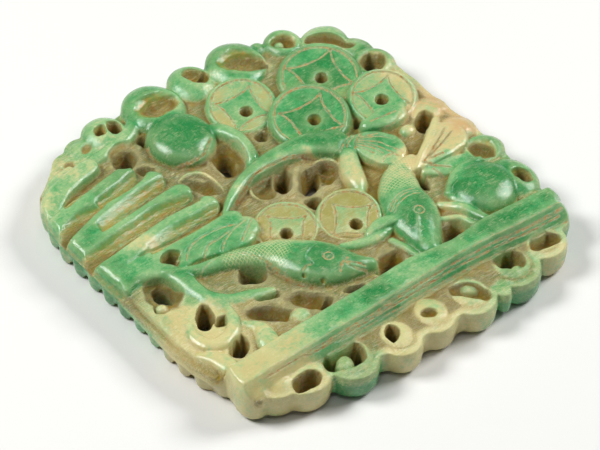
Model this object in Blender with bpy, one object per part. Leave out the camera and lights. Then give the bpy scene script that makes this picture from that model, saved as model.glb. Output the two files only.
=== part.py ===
"""Openwork jade plaque with two fishes, six coins, two beads and a basin rim.

One solid, carved on both faces. Sizes below are in millimetres, and the finished mesh is in metres.
+X runs along the basin rim, +Y towards the scalloped head, +Z out of the front face.
The plaque lies on its back, and its origin is the middle of the underside.
"""

import math

import bmesh
import bpy
import numpy as np
from mathutils import Matrix

MM = 0.001

# Driving dimensions
THICKNESS = 8.2  # highest crest of the front above the underside
GROUND = 4.8  # sunk ground of the front, above the underside
WALL_TOP = 4.4  # where the rounding of the front meets the side wall
WALL_FOOT = 2.3  # where the side wall meets the rounding of the back
ROLL = 3.2  # width of the rounding along the edge
CLEAR = 0.5  # how far the rounding ends beyond the flat lands, so that it leaves them flat
WEB = 1.1  # least thickness left between a front and a back hollow
MIDDLE = (-0.4, 0.3)  # middle of the outline, which becomes the origin
REACH = 38.0  # half size of the uncut block
STEP = 0.4  # spacing of the carved points
RIM_POINTS = 360  # corners of the outline
TRIANGLES = 9300  # faces of the finished solid
CUTTER_FOOT = -2.0  # how far below the underside the cutters begin
CUTTER_HEIGHT = THICKNESS + 4.0  # height of the cutters, which reach past both faces
SKIRT = 4.5  # fall of the skirt below a raised form, per unit of width
SKIRT_WIDTH = 1.2  # how far the skirt runs out from its form

# Lobes that scallop the outline: centre and radii
HEAD_LOBES = [
    ((-24.2, 29.5), (3.2, 3.1)),
    ((-20.8, 30.7), (3.3, 3.4)),
    ((-15.9, 31.8), (4.0, 4.0)),
    ((-6.4, 31.4), (5.3, 5.7)),
    ((2.3, 32.7), (4.1, 4.5)),
    ((10.5, 31.6), (5.1, 5.5)),
    ((15.9, 32.8), (1.7, 1.8)),
    ((20.0, 31.2), (3.4, 3.6)),
    ((25.9, 27.7), (4.2, 4.0)),
    ((29.0, 22.9), (2.9, 3.4)),
    ((29.2, 18.7), (3.9, 4.0)),
]
SIDE_LOBES = [
    ((28.7, 11.2), (4.0, 4.6)),
    ((29.3, 4.6), (4.0, 3.6)),
    ((30.3, -1.8), (3.8, 3.5)),
    ((31.1, -8.0), (3.9, 3.5)),
    ((30.8, -16.2), (4.0, 5.2)),
]
FOOT_LOBES = [
    ((29.8, -26.3), (3.8, 3.3)),
    ((26.0, -29.3), (4.3, 4.3)),
    ((18.8, -31.0), (4.7, 4.7)),
    ((14.4, -34.0), (1.4, 1.8)),
    ((9.6, -31.7), (4.3, 4.8)),
    ((2.2, -31.3), (3.9, 4.5)),
    ((-5.0, -31.8), (4.0, 4.7)),
    ((-13.6, -31.0), (4.6, 5.0)),
    ((-21.4, -29.5), (4.6, 4.4)),
    ((-25.6, -27.8), (4.2, 4.1)),
    ((-29.5, -27.0), (2.9, 3.3)),
]
# Corners of the straight-sided field that the lobes grow from, clockwise from the left side
FIELD = [
    (-35.1, -13.5), (-35.0, -8.0), (-35.0, -2.0), (-35.4, 4.0), (-35.6, 11.0),
    (-35.7, 16.5), (-35.2, 20.5), (-34.2, 24.0), (-32.4, 26.6), (-30.0, 28.4),
    (-27.2, 30.8), (-18.0, 33.4), (-6.0, 34.9), (12.0, 34.4), (23.2, 30.6), (30.6, 24.2),
    (32.4, 16.0), (32.8, 5.0), (33.6, -1.0), (33.9, -10.0), (33.2, -20.0),
    (34.0, -22.6), (34.0, -24.6), (31.7, -27.5), (22.2, -31.9), (10.0, -34.6),
    (-5.0, -34.6), (-20.0, -32.3), (-30.6, -28.9), (-32.3, -26.4), (-31.9, -23.4),
    (-33.6, -21.5), (-34.4, -18.5),
]

# Drilled openings: centre, radii and turn in degrees
OPENINGS = [
    ((-16.4, 25.3), (1.5, 1.0), 27),
    ((-3.6, 15.2), (1.2, 0.9), 63),
    ((0.8, 4.8), (1.2, 0.8), 70),
    ((4.6, 3.5), (2.2, 0.8), 34),
    ((2.0, -1.0), (0.9, 0.7), -70),
    ((27.1, 2.8), (1.3, 0.9), 32),
    ((29.0, 19.2), (0.8, 0.8), 0),
    ((-14.1, 31.4), (1.0, 0.7), 63),
    ((-28.8, -2.3), (1.6, 1.2), -69),
    ((-27.0, -11.2), (2.2, 0.9), 58),
    ((-26.3, -19.2), (1.5, 1.0), 52),
    ((-15.4, -7.9), (1.5, 1.2), -28),
    ((-18.0, -16.3), (1.7, 0.8), -39),
    ((-9.7, -19.3), (1.1, 0.7), 15),
    ((3.5, -18.4), (1.4, 0.9), 17),
    ((16.1, -19.3), (1.5, 0.9), 8),
    ((-22.1, -31.0), (1.5, 0.9), -4),
    ((-17.0, -30.2), (0.8, 1.2), 0),
    ((-12.2, -31.2), (1.6, 0.7), 50),
    ((-5.3, -31.2), (1.3, 0.7), 52),
    ((19.2, -29.2), (1.1, 1.0), 0),
]

# Clouds of the head: heights of their tops, then the hollows: centre, radii, floor, rim height, turn
HEAD_TOPS = (5.8, 6.2, 7.0, 7.6, 7.0, 7.6, 6.4, 7.0, 6.8, 6.2, 6.8)
SCOOPS = [
    ((-24.6, 29.4), (1.7, 1.3), 5.2, 6.2, 20),
    ((-20.2, 30.6), (1.6, 0.9), 5.4, 6.3, 40),
    ((-16.6, 31.9), (1.3, 1.1), 4.6, 6.5, 72),
    ((-14.1, 31.4), (1.9, 1.2), 3.2, 6.5, 63),
    ((-5.2, 31.0), (3.9, 2.1), 4.8, 6.9, -6),
    ((3.4, 33.2), (2.5, 1.6), 4.6, 6.4, -78),
    ((4.3, 32.3), (1.4, 1.1), 3.2, 6.0, 57),
    ((12.0, 30.6), (4.1, 2.1), 4.5, 6.9, -32),
    ((13.9, 29.0), (0.9, 0.7), 3.0, 5.2, -48),
    ((19.9, 31.2), (2.3, 1.8), 4.3, 6.6, -39),
    ((29.2, 18.6), (2.5, 2.1), 3.8, 6.3, 0),
    ((29.0, 19.4), (1.3, 1.1), 2.6, 4.9, 49),
]

# Wave crests and the channels between them: x, y, half width and height
CRESTS = [
    [(-31.5, 25.9, 1.1, 5.6), (-28.5, 27.3, 1.1, 6.4), (-25.5, 28.0, 0.9, 6.4)],
    [(-33.0, 22.9, 1.9, 6.3), (-29.0, 25.1, 1.9, 7.0), (-22.8, 26.4, 1.7, 7.1)],
    [(-34.0, 18.8, 2.1, 6.7), (-27.3, 20.2, 2.1, 7.3), (-19.4, 21.4, 1.9, 7.3)],
    [(-34.2, 14.1, 2.1, 6.8), (-27.3, 16.2, 2.1, 7.3), (-16.2, 17.8, 1.8, 7.2)],
    [(-34.2, 11.4, 2.1, 6.8), (-27.3, 12.0, 2.1, 7.3), (-14.3, 12.8, 1.8, 7.1)],
    [(-34.2, 5.6, 2.1, 6.8), (-27.3, 7.4, 2.1, 7.2), (-12.4, 8.1, 1.8, 7.1)],
    [(-34.2, 2.6, 2.3, 6.7), (-27.3, 3.2, 2.0, 7.0), (-10.8, 3.4, 1.6, 6.8)],
]
CHANNELS = [
    [(-30.5, 21.9, 1.3, 5.6), (-25.6, 23.0, 1.4, 5.4), (-20.4, 23.9, 1.2, 5.1)],
    [(-35.2, 16.0, 1.3, 4.7), (-30.6, 17.3, 1.3, 5.1), (-27.2, 17.7, 0.9, 5.6)],
    [(-26.2, 18.3, 1.0, 5.7), (-21.0, 18.9, 1.2, 5.4), (-17.6, 19.7, 1.1, 5.0)],
    [(-28.6, 14.0, 1.4, 5.7), (-22.4, 14.9, 1.5, 5.4), (-14.8, 15.9, 1.3, 5.0)],
    [
        (-35.2, 9.1, 1.4, 4.7), (-30.6, 9.3, 1.5, 5.1), (-25.4, 9.9, 1.4, 5.2),
        (-19.6, 10.7, 1.4, 5.2), (-13.6, 10.3, 1.1, 4.9),
    ],
    [(-25.2, 5.3, 1.4, 5.7), (-20.4, 5.7, 1.6, 5.4), (-15.6, 5.7, 1.4, 5.2), (-11.4, 6.0, 1.1, 5.0)],
]

# Hollows of the ground: centre, radii, floor, rim height, turn
HOLLOWS = [
    # between the wave crests and the upper bead
    ((-16.6, 25.1), (2.5, 1.8), 2.0, 5.6, 27),
    ((-15.4, 21.6), (1.9, 1.2), 3.8, 5.6, -62),
    ((-11.8, 26.8), (1.5, 1.1), 3.2, 5.8, 67),
    ((-3.4, 14.8), (4.3, 3.2), 4.5, 6.0, 70),
    ((-4.0, 14.9), (2.4, 1.8), 2.8, 4.9, -85),
    ((-9.9, 13.0), (3.6, 1.7), 4.0, 5.7, -58),
    # round the coins and the right side
    ((4.5, 16.0), (1.3, 1.0), 3.4, 5.4, -20),
    ((18.5, 9.3), (1.2, 0.9), 3.4, 5.8, 57),
    ((27.1, 2.6), (2.2, 1.6), 2.6, 5.8, 32),
    # under the arched handle
    ((-3.4, 5.6), (2.6, 1.7), 4.4, 5.6, 24),
    ((0.8, 4.8), (2.0, 1.3), 2.2, 5.6, 70),
    ((5.1, 3.9), (3.4, 1.5), 2.0, 5.6, 34),
    ((7.7, 3.7), (2.4, 1.5), 3.4, 5.6, 73),
    ((6.2, 0.6), (1.1, 0.9), 4.0, 5.6, 0),
    ((2.0, -1.1), (1.5, 1.1), 2.2, 5.6, -70),
    # left of the fishes
    ((-24.2, 2.0), (1.9, 1.1), 3.6, 6.2, 12),
    ((-29.8, -3.4), (3.6, 2.7), 4.4, 6.3, -70),
    ((-28.8, -2.5), (2.4, 1.8), 2.0, 4.8, -69),
    ((-27.0, -11.2), (3.0, 1.4), 2.0, 6.0, 58),
    ((-25.4, -13.4), (1.6, 1.2), 3.8, 6.0, 38),
    ((-26.3, -19.2), (2.5, 1.7), 2.0, 6.2, 52),
    # below the left fish
    ((-15.4, -7.9), (2.6, 2.1), 2.0, 5.7, -28),
    ((-16.3, -12.8), (2.5, 1.3), 3.4, 5.6, -33),
    ((-18.0, -16.5), (3.9, 1.8), 2.6, 5.7, -39),
    ((-11.3, -17.5), (3.2, 2.0), 2.8, 5.6, -43),
    ((-9.7, -19.5), (1.7, 0.9), 2.0, 5.2, 15),
    ((-4.1, -20.0), (1.8, 0.9), 3.0, 5.2, -13),
    # round the right fish
    ((3.5, -18.6), (3.5, 2.0), 2.6, 5.7, 17),
    ((16.1, -19.6), (3.3, 2.0), 2.8, 5.7, 8),
    ((18.8, -8.4), (1.9, 0.9), 2.8, 5.8, 82),
    ((30.3, -8.4), (2.3, 1.7), 4.4, 6.3, -60),
    ((32.0, -17.2), (1.6, 1.3), 4.8, 6.6, 0),
]

# Knobs left standing in them: centre, radii, top, drop at the edge
KNOBS = [
    ((24.3, 3.4), (1.2, 1.2), 6.0, 1.2),
    ((-31.0, -5.4), (1.2, 1.2), 5.2, 1.2),
    ((-14.4, -19.4), (1.9, 1.8), 6.0, 1.5),
]

# Coins, the lowest first: centre, radius, height, rise of the upper right edge, and how far the
# hole lies off the centre
COINS = [
    ((19.8, 20.9), 7.1, 6.2, 1.0, (0.1, -0.3)),
    ((5.4, 23.1), 5.9, 6.4, 0.9, (-0.1, -1.5)),
    ((25.0, 10.7), 5.8, 6.6, 0.9, (-0.5, -0.4)),
    ((12.5, 14.0), 6.7, 7.0, 1.0, (0.1, -1.1)),
    ((-5.0, -2.9), 5.5, 5.6, 0.5, (-0.6, -1.0)),
    ((4.5, -7.1), 5.4, 6.0, 0.8, (-0.2, -2.0)),
]

# Heights along the two long lines of the basin rim: how far up the plaque each of them lies
INNER_LINE = (-23.5, -22.9, -22.4, -21.8, -22.8, -22.0, -22.9)
CREST_LINE = (-27.6, -27.2, -26.7, -25.9, -25.7, -26.5, -26.5)

# Foam scrolls of the foot: heights of their tops, then the hollows like those of the head
FOOT_TOPS = (6.0, 5.8, 5.8, 5.0, 5.9, 5.9, 5.8, 6.0, 6.0, 6.2, 6.8)
CUPS = [
    ((-22.1, -31.2), (2.6, 1.7), 2.0, 5.5, -4),
    ((-14.4, -30.5), (3.9, 3.0), 2.2, 5.6, -9),
    ((-5.3, -31.3), (2.0, 1.1), 2.0, 5.4, 52),
    ((1.7, -31.3), (1.4, 1.0), 4.7, 5.9, -32),
    ((9.9, -31.6), (3.6, 1.9), 3.6, 5.7, -52),
    ((19.0, -29.9), (2.9, 2.5), 2.6, 5.8, -49),
    ((26.2, -30.0), (3.0, 1.8), 3.2, 5.8, -7),
]


def smooth_max(a, b, blend):
    """The larger of two heights, with a fillet of about blend where they cross."""
    mix = np.clip(0.5 + 0.5 * (a - b) / blend, 0.0, 1.0)
    return b + (a - b) * mix + blend * mix * (1.0 - mix)


def smooth_min(a, b, blend):
    return -smooth_max(-a, -b, blend)


def fade(value, start, end):
    """0 below start and 1 above end, with a soft rise between them."""
    t = np.clip((value - start) / (end - start), 0.0, 1.0)
    return t * t * (3.0 - 2.0 * t)


def curve_through(points, steps=6):
    """Rows read from the Catmull-Rom curve through the given rows."""
    rows = [np.array(row, float) for row in points]
    rows = [2 * rows[0] - rows[1]] + rows + [2 * rows[-1] - rows[-2]]
    found = []
    for a, b, c, d in zip(rows, rows[1:], rows[2:], rows[3:]):
        for t in np.arange(steps) / steps:
            bend = 2 * a - 5 * b + 4 * c - d
            twist = 3 * b - a - 3 * c + d
            found.append(0.5 * (2 * b + (c - a) * t + bend * t**2 + twist * t**3))
    found.append(rows[-2])
    return found


class Relief:
    """Heights over a grid of points, carved by raising rounded forms and sinking hollows."""

    def __init__(self, xs, ys, ground):
        self.xs = xs
        self.ys = ys
        self.x, self.y = np.meshgrid(xs, ys, indexing="ij")
        self.z = np.full(self.x.shape, float(ground))

    def window(self, points, reach):
        """The part of the grid that lies within reach of the points."""
        x = [point[0] for point in points]
        y = [point[1] for point in points]
        across = np.searchsorted(self.xs, (min(x) - reach, max(x) + reach))
        along = np.searchsorted(self.ys, (min(y) - reach, max(y) + reach))
        return slice(*across), slice(*along)

    def oval(self, centre, radii, turn, reach):
        """Distance from the middle of an oval, counted in its own radii."""
        at = self.window([centre], max(radii) * reach)
        x = self.x[at] - centre[0]
        y = self.y[at] - centre[1]
        c = math.cos(math.radians(turn))
        s = math.sin(math.radians(turn))
        return at, np.hypot((x * c + y * s) / radii[0], (y * c - x * s) / radii[1])

    def stroke(self, points, reach):
        """Distance from a curve in half widths, the half width, the height of the curve there, and
        the distance to its left, which is negative on its right.

        Each point is x, y, half width and height.
        """
        line = curve_through(points)
        at = self.window(line, reach * max(row[2] for row in line))
        x = self.x[at]
        y = self.y[at]
        nearest = np.full(x.shape, np.inf)
        width = np.ones(x.shape)
        level = np.zeros(x.shape)
        side = np.zeros(x.shape)
        for a, b in zip(line, line[1:]):
            run = b[:2] - a[:2]
            t = ((x - a[0]) * run[0] + (y - a[1]) * run[1]) / (run @ run)
            t = np.clip(t, 0.0, 1.0)
            away = np.hypot(x - a[0] - t * run[0], y - a[1] - t * run[1])
            closer = away < nearest
            nearest = np.where(closer, away, nearest)
            width = np.where(closer, a[2] + t * (b[2] - a[2]), width)
            level = np.where(closer, a[3] + t * (b[3] - a[3]), level)
            to_left = (run[0] * (y - a[1]) - run[1] * (x - a[0])) / math.hypot(*run)
            side = np.where(closer, to_left, side)
        return at, nearest / width, width, level, side

    def raise_cap(self, at, share, width, top, drop, blend, power):
        """A rounded top inside share 1, and a steep skirt outside it. A higher power is flatter."""
        cap = top - drop * (1.0 - np.clip(1.0 - share**power, 0.0, 1.0) ** (1.0 / power))
        skirt = SKIRT * width * np.clip(share - 1.0, 0.0, None)
        self.z[at] = smooth_max(self.z[at], cap - skirt, blend)

    def dome(self, centre, radii, top, drop, turn=0, blend=0.4, power=2.0):
        """A rounded boss, drop lower at its edge than at its top."""
        at, share = self.oval(centre, radii, turn, 1.0 + SKIRT_WIDTH / min(radii))
        self.raise_cap(at, share, min(radii), top, drop, blend, power)

    def band(self, points, drop, blend=0.4, power=2.0):
        """A rounded strand along a curve."""
        slimmest = min(point[2] for point in points)
        at, share, width, top, _ = self.stroke(points, 1.0 + SKIRT_WIDTH / slimmest)
        self.raise_cap(at, share, width, top, drop, blend, power)

    def bowl(self, centre, radii, floor, rim, turn=0, blend=0.3, power=3.0):
        """A hollow that reaches rim height at its radii."""
        at, share = self.oval(centre, radii, turn, 2.0)
        wall = floor + (rim - floor) * share**power
        self.z[at] = smooth_min(self.z[at], wall, blend)

    def groove(self, points, depth, blend=0.3, power=2.5, lean=0.0):
        """A channel along a curve, whose heights are its floor. Lean moves its lowest line to
        one side, so that one wall is steep and the other gentle."""
        at, share, width, floor, side = self.stroke(points, 2.2)
        across = side / width
        past_end = np.sqrt(np.clip(share**2 - across**2, 0.0, None))
        steep = (across - lean) / (1.0 - lean)
        gentle = (lean - across) / (1.0 + lean)
        wall = np.hypot(np.where(across > lean, steep, gentle), past_end)
        self.z[at] = smooth_min(self.z[at], floor + depth * wall**power, blend)


def polygon_depth(x, y, corners):
    """Distance to the nearest side of a polygon, positive inside it."""
    away = np.full(x.shape, np.inf)
    inside = np.zeros(x.shape, bool)
    for a, b in zip(corners, corners[1:] + corners[:1]):
        run = np.subtract(b, a)
        t = ((x - a[0]) * run[0] + (y - a[1]) * run[1]) / (run @ run)
        t = np.clip(t, 0.0, 1.0)
        away = np.minimum(away, np.hypot(x - a[0] - t * run[0], y - a[1] - t * run[1]))
        if a[1] != b[1]:
            crossing = a[0] + (y - a[1]) * run[0] / run[1]
            inside ^= ((a[1] > y) != (b[1] > y)) & (x < crossing)
    return np.where(inside, away, -away)


def outline_depth(x, y):
    """How far inside the scalloped outline a point lies."""
    depth = polygon_depth(x, y, FIELD)
    for centre, radii in HEAD_LOBES + SIDE_LOBES + FOOT_LOBES:
        share = np.hypot((x - centre[0]) / radii[0], (y - centre[1]) / radii[1])
        depth = smooth_max(depth, (1.0 - share) * min(radii), 0.5)
    return depth


def lay_ground(r):
    """Low swellings of the sunk ground, and the shelf along the right side."""
    r.dome((-29.0, -11.0), (7.5, 13.0), 6.2, 1.0, blend=0.8)
    r.dome((-20.0, -14.0), (8.0, 8.0), 5.6, 0.8, blend=0.8)
    r.dome((4.0, 1.5), (9.5, 8.0), 5.5, 0.8, blend=0.8)
    r.dome((-2.5, 15.0), (7.0, 6.5), 5.3, 0.8, blend=0.8)
    r.dome((22.0, -13.0), (11.0, 9.0), 5.4, 0.8, blend=0.8)
    r.dome((14.0, 28.0), (6.0, 4.0), 5.6, 0.8)
    r.dome((26.0, 4.0), (5.5, 4.0), 5.6, 1.0)
    r.band([
        (31.0, 14.0, 2.6, 5.8), (31.0, 4.0, 2.8, 6.0), (31.5, -5.0, 2.8, 6.0),
        (31.6, -12.0, 2.6, 6.2), (31.8, -19.5, 2.8, 6.6),
    ], 1.2, 0.6)


def carve_head_clouds(r):
    """Cloud lobes round the head, each with a hollow."""
    for (centre, radii), top in zip(HEAD_LOBES, HEAD_TOPS):
        r.dome(centre, radii, top, 2.2, blend=0.5)
    r.band([
        (-22.0, 27.6, 1.2, 6.2), (-17.0, 28.0, 1.4, 6.6),
        (-12.8, 29.2, 1.4, 6.6), (-10.6, 31.2, 1.2, 6.6),
    ], 1.2)
    for centre, radii, floor, rim, turn in SCOOPS:
        r.bowl(centre, radii, floor, rim, turn)
    r.dome((-5.2, 28.6), (1.0, 0.8), 6.2, 1.0)
    r.dome((10.2, 29.4), (1.2, 1.0), 6.3, 1.2)
    r.dome((19.4, 31.6), (0.9, 0.8), 5.7, 0.9)
    r.groove([(23.8, 29.0, 1.1, 4.6), (26.6, 26.8, 1.2, 4.3), (28.6, 24.2, 1.0, 4.6)], 1.9)


def carve_wave_crests(r):
    """Seven slanting wave crests on the left, with channels between them."""
    r.band([(-32.5, 20.0, 3.0, 6.2), (-32.5, 10.0, 3.2, 6.4), (-31.5, 3.0, 3.4, 6.4)], 1.2)
    for crest in CRESTS:
        r.band(crest, 0.8, 0.3, 2.6)
    for channel in CHANNELS:
        r.groove(channel, 1.7, 0.25, 1.7, -0.6)


def carve_hollows(r):
    """Drilled and scraped hollows of the ground, with the knobs left standing in them."""
    for centre, radii, floor, rim, turn in HOLLOWS:
        r.bowl(centre, radii, floor, rim, turn)
    for centre, radii, top, drop in KNOBS:
        r.dome(centre, radii, top, drop)


def carve_coin(r, centre, radius, height, rise, hole):
    """A disc with a raised rim and a middle hole, its upper right edge lifted by rise."""
    rim_height = 0.3
    bevel = 0.5
    at, share = r.oval(centre, (radius, radius), 0, 1.0 + SKIRT_WIDTH / radius)
    across = (r.x[at] - centre[0]) * 0.6 + (r.y[at] - centre[1]) * 0.8
    face = height + rise * across / radius + rim_height * fade(share, 0.82, 0.90)
    edge = bevel * np.clip(share - 0.93, 0.0, 0.07) / 0.07
    skirt = SKIRT * radius * np.clip(share - 1.0, 0.0, None)
    r.z[at] = smooth_max(r.z[at], face - edge - skirt, 0.15)
    r.bowl(np.add(centre, hole), (1.15, 1.15), height - 3.0, height + 0.1, power=4)


def carve_beads(r):
    """Two smooth round beads, a ribbon that hooks below the upper one, and folds round the other."""
    r.groove([(-12.0, 22.0, 1.3, 4.8), (-10.6, 18.6, 1.4, 4.8), (-7.0, 16.8, 1.2, 4.8)], 1.0)
    r.dome((-6.9, 23.0), (5.8, 6.1), 8.1, 3.6, blend=0.2, power=2.6)
    r.dome((25.6, -15.2), (5.8, 5.8), 8.1, 3.4, blend=0.2, power=2.5)
    collar = [
        (20.2, -12.8, 0.7, 6.6), (23.0, -11.0, 1.0, 7.3), (26.0, -10.1, 1.1, 7.2), (28.8, -9.9, 0.7, 6.6),
    ]
    fold = [
        (17.6, -13.8, 0.7, 6.2), (19.4, -16.2, 0.9, 6.8), (20.6, -18.6, 0.9, 6.9), (21.4, -21.4, 0.8, 7.0),
    ]
    ribbon = [
        (-3.2, 22.0, 1.1, 6.9), (-1.0, 20.1, 1.6, 7.2), (0.2, 17.5, 1.5, 7.3), (0.3, 15.0, 1.4, 7.2),
        (-0.2, 12.7, 1.3, 7.0), (-1.6, 11.1, 1.0, 6.4),
    ]
    r.band(collar, 0.8)
    r.band(fold, 0.8)
    r.band(ribbon, 1.0)


def carve_whisk(r):
    """The arched handle, narrow at its left tip, with its bound end, hair and leaves."""
    handle = [
        (-11.8, 4.6, 0.5, 6.4), (-8.2, 7.2, 1.0, 7.0), (-4.2, 9.1, 1.3, 7.3),
        (0.4, 10.0, 1.6, 7.5), (4.6, 10.0, 1.9, 7.6), (8.6, 9.2, 2.3, 7.7), (12.0, 7.2, 2.8, 7.7),
    ]
    pale_leaf = [
        (12.4, 3.6, 1.7, 7.4), (10.2, 0.4, 1.7, 7.5), (9.2, -3.2, 1.3, 7.3), (9.4, -4.6, 0.6, 6.8),
    ]
    far_leaf = [
        (17.8, 6.9, 0.9, 7.2), (21.5, 7.0, 1.7, 7.6), (25.2, 7.3, 1.4, 7.4), (26.6, 7.8, 0.5, 7.0),
    ]
    r.band(handle, 1.3)
    r.dome((17.0, 2.6), (4.2, 4.6), 7.0, 1.2, turn=-40)
    r.band(pale_leaf, 1.3)
    r.band(far_leaf, 1.0)


def carve_strands(r):
    """Thin stems of water weed between the fishes, beside the right one and at the left edge."""
    between_fishes = [
        (-0.4, -11.9, 0.9, 6.2), (3.8, -13.4, 1.1, 6.4), (8.0, -12.9, 1.1, 6.6), (10.2, -11.9, 0.9, 6.8),
    ]
    ring = [
        (-30.2, -11.4, 0.9, 6.6), (-31.0, -13.8, 1.2, 6.8), (-30.2, -16.4, 1.4, 6.9),
        (-28.2, -17.2, 1.4, 6.9), (-25.6, -16.4, 1.3, 6.8), (-23.8, -14.4, 1.1, 6.7),
        (-23.0, -11.9, 0.8, 6.4),
    ]
    under_left_fish = [
        (-24.3, -1.7, 1.6, 6.6), (-25.0, -4.8, 1.7, 6.7), (-24.0, -8.0, 1.4, 6.6), (-21.6, -10.4, 1.1, 6.4),
        (-18.2, -11.0, 0.9, 6.2), (-14.4, -10.9, 0.8, 6.0), (-12.2, -9.0, 0.7, 6.2),
    ]
    r.band(between_fishes, 0.9)
    r.band(ring, 1.0)
    r.band(under_left_fish, 1.2, 0.5)
    r.band([(-22.7, -15.8, 0.9, 6.0), (-21.4, -18.2, 1.5, 6.4), (-22.0, -21.2, 1.9, 6.5)], 0.9, 0.3)
    r.band([(-32.6, -17.4, 0.8, 6.4), (-30.8, -19.4, 1.5, 6.7), (-30.2, -21.6, 1.6, 6.8)], 0.8, 0.3)
    r.band([(6.8, -15.4, 0.7, 5.9), (7.6, -17.8, 0.7, 6.0), (8.0, -20.2, 0.7, 6.0)], 0.6)
    r.band([(20.2, -13.0, 0.6, 6.3), (20.4, -17.0, 0.6, 6.3), (20.4, -20.4, 0.6, 6.2)], 0.6)
    r.band([(15.6, -16.4, 0.6, 6.1), (18.4, -17.9, 0.6, 6.1), (19.6, -20.6, 0.6, 6.1)], 0.6)


def carve_left_fish(r):
    """The fish that swims to the right, its tail curling round a hollow, with a leaf above it."""
    tail_curl = [
        (-33.4, 0.9, 1.1, 6.3), (-30.2, 1.7, 1.2, 6.8), (-27.2, 0.9, 1.3, 7.0), (-25.6, -1.6, 1.3, 6.9),
        (-25.4, -5.0, 1.2, 6.8), (-24.8, -8.4, 1.0, 6.6), (-23.6, -10.6, 0.7, 6.2),
    ]
    leaf = [
        (-24.0, -0.4, 0.5, 6.2), (-20.2, 0.9, 1.9, 6.8), (-15.6, 0.7, 3.1, 7.0),
        (-12.0, 0.4, 3.2, 7.0), (-10.6, 0.6, 2.4, 6.9),
    ]
    body = [
        (-26.8, 0.0, 0.9, 6.9), (-22.0, -2.4, 1.4, 7.0), (-17.6, -3.4, 1.6, 7.1), (-13.6, -4.8, 2.1, 7.3),
        (-10.2, -6.9, 3.2, 7.6), (-8.2, -9.4, 4.0, 7.8), (-6.1, -12.1, 4.4, 7.95), (-3.9, -14.5, 4.0, 7.9),
        (-1.4, -16.4, 2.6, 7.5), (0.7, -17.5, 1.4, 7.0),
    ]
    r.band(tail_curl, 1.2)
    r.band(leaf, 0.9, power=3.0)
    r.band(body, 2.2)


def carve_right_fish(r):
    """The fish that dives towards the rim, with its tail spread up to the right."""
    tail_fan = [
        (19.0, -4.9, 1.3, 7.0), (22.0, -4.9, 1.8, 7.1), (24.8, -4.2, 2.7, 7.2), (27.4, -3.0, 3.6, 7.0),
    ]
    fan_edge = [
        (19.2, -5.8, 0.5, 7.1), (21.6, -3.9, 0.6, 7.3), (25.0, -1.7, 0.7, 7.3), (28.6, 1.2, 0.7, 6.9),
    ]
    body = [
        (20.0, -3.4, 1.6, 6.9), (16.9, -4.6, 2.7, 7.3), (15.2, -6.4, 3.3, 7.6), (13.8, -8.8, 3.8, 7.8),
        (13.0, -12.0, 4.3, 7.95), (12.1, -14.8, 4.1, 7.9), (11.2, -17.8, 3.1, 7.6), (10.4, -20.6, 2.1, 7.2),
    ]
    fin = [
        (4.4, -12.4, 0.7, 6.7), (6.6, -12.1, 1.1, 7.2), (8.6, -12.6, 1.0, 7.4), (9.8, -13.8, 0.6, 7.3),
    ]
    r.band([(20.4, -6.6, 1.0, 6.5), (23.5, -7.9, 1.8, 6.6), (26.8, -8.2, 1.5, 6.4)], 0.7)
    r.band(tail_fan, 0.7, 0.2, 3.0)
    r.band(fan_edge, 0.5)
    r.band(body, 2.2)
    r.band(fin, 0.6, 0.2)


def carve_foot_scrolls(r):
    """Foam scrolls below the basin rim, pierced and hollowed."""
    for (centre, radii), top in zip(FOOT_LOBES, FOOT_TOPS):
        r.dome(centre, [radius + 0.3 for radius in radii], top, 2.2, blend=0.5, power=2.4)
    for centre, radii, floor, rim, turn in CUPS:
        r.bowl(centre, radii, floor, rim, turn)
    r.dome((-15.0, -31.6), (2.2, 1.5), 5.6, 1.6, turn=60)
    r.dome((10.6, -30.2), (1.8, 1.1), 5.0, 1.0, turn=-52)
    r.dome((19.4, -31.2), (1.2, 0.9), 4.6, 1.0)


def carve_basin_rim(r):
    """The straight rim: a flat top, a crest line and a slope towards the foot."""
    slope = 1.3
    slope_width = 2.2
    inner = np.interp(r.x, (-31.3, -20, -5, 5, 13, 20, 33), INNER_LINE)
    crest = np.interp(r.x, (-30, -19, -5, 8, 15, 25, 32), CREST_LINE)
    left_end = -31.8 + 0.62 * (r.y + 23.5)
    top = THICKNESS - slope * np.clip(crest - r.y, 0.0, None)
    past_rim = np.maximum.reduce([r.y - inner, left_end - r.x, crest - slope_width - r.y])
    r.z = smooth_max(r.z, top - SKIRT * np.clip(past_rim, 0.0, None), 0.3)


def rolled_edge(depth, wall, top, roll):
    """Quarter round that rises from the wall to the top over the width of the roll."""
    share = np.clip(depth / roll, 0.0, 1.0)
    return wall + (top - wall) * np.sqrt(np.clip(1.0 - (1.0 - share) ** 2, 0.0, 1.0))


def front_edge(x, y):
    """Heights of the front's rounding: crisper on the left, wider at the wave crests, and lower
    along the foot."""
    on_left = fade(-x, 29.0, 32.0) * fade(y, -23.0, -21.5) * fade(-y, -26.0, -22.0)
    on_foot = fade(-y, 24.0, 28.0)
    on_head = fade(0.35 * x + y, 20.0, 24.0)
    on_rim_end = fade(-x, 28.0, 30.5) * fade(-y, 22.0, 23.5)
    on_crests = fade(-x, 26.0, 29.0) * fade(y, 0.0, 3.0) * fade(-y, -26.0, -22.0)
    wall = WALL_TOP + 0.7 * on_left - 0.2 * on_crests + 0.5 * on_head - 0.9 * on_foot + 2.4 * on_rim_end
    roll = ROLL - 1.2 * on_left + 1.8 * on_crests - 0.5 * on_head - 0.9 * on_foot - 0.9 * on_rim_end
    return rolled_edge(outline_depth(x, y), wall, THICKNESS + CLEAR, roll)


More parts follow.
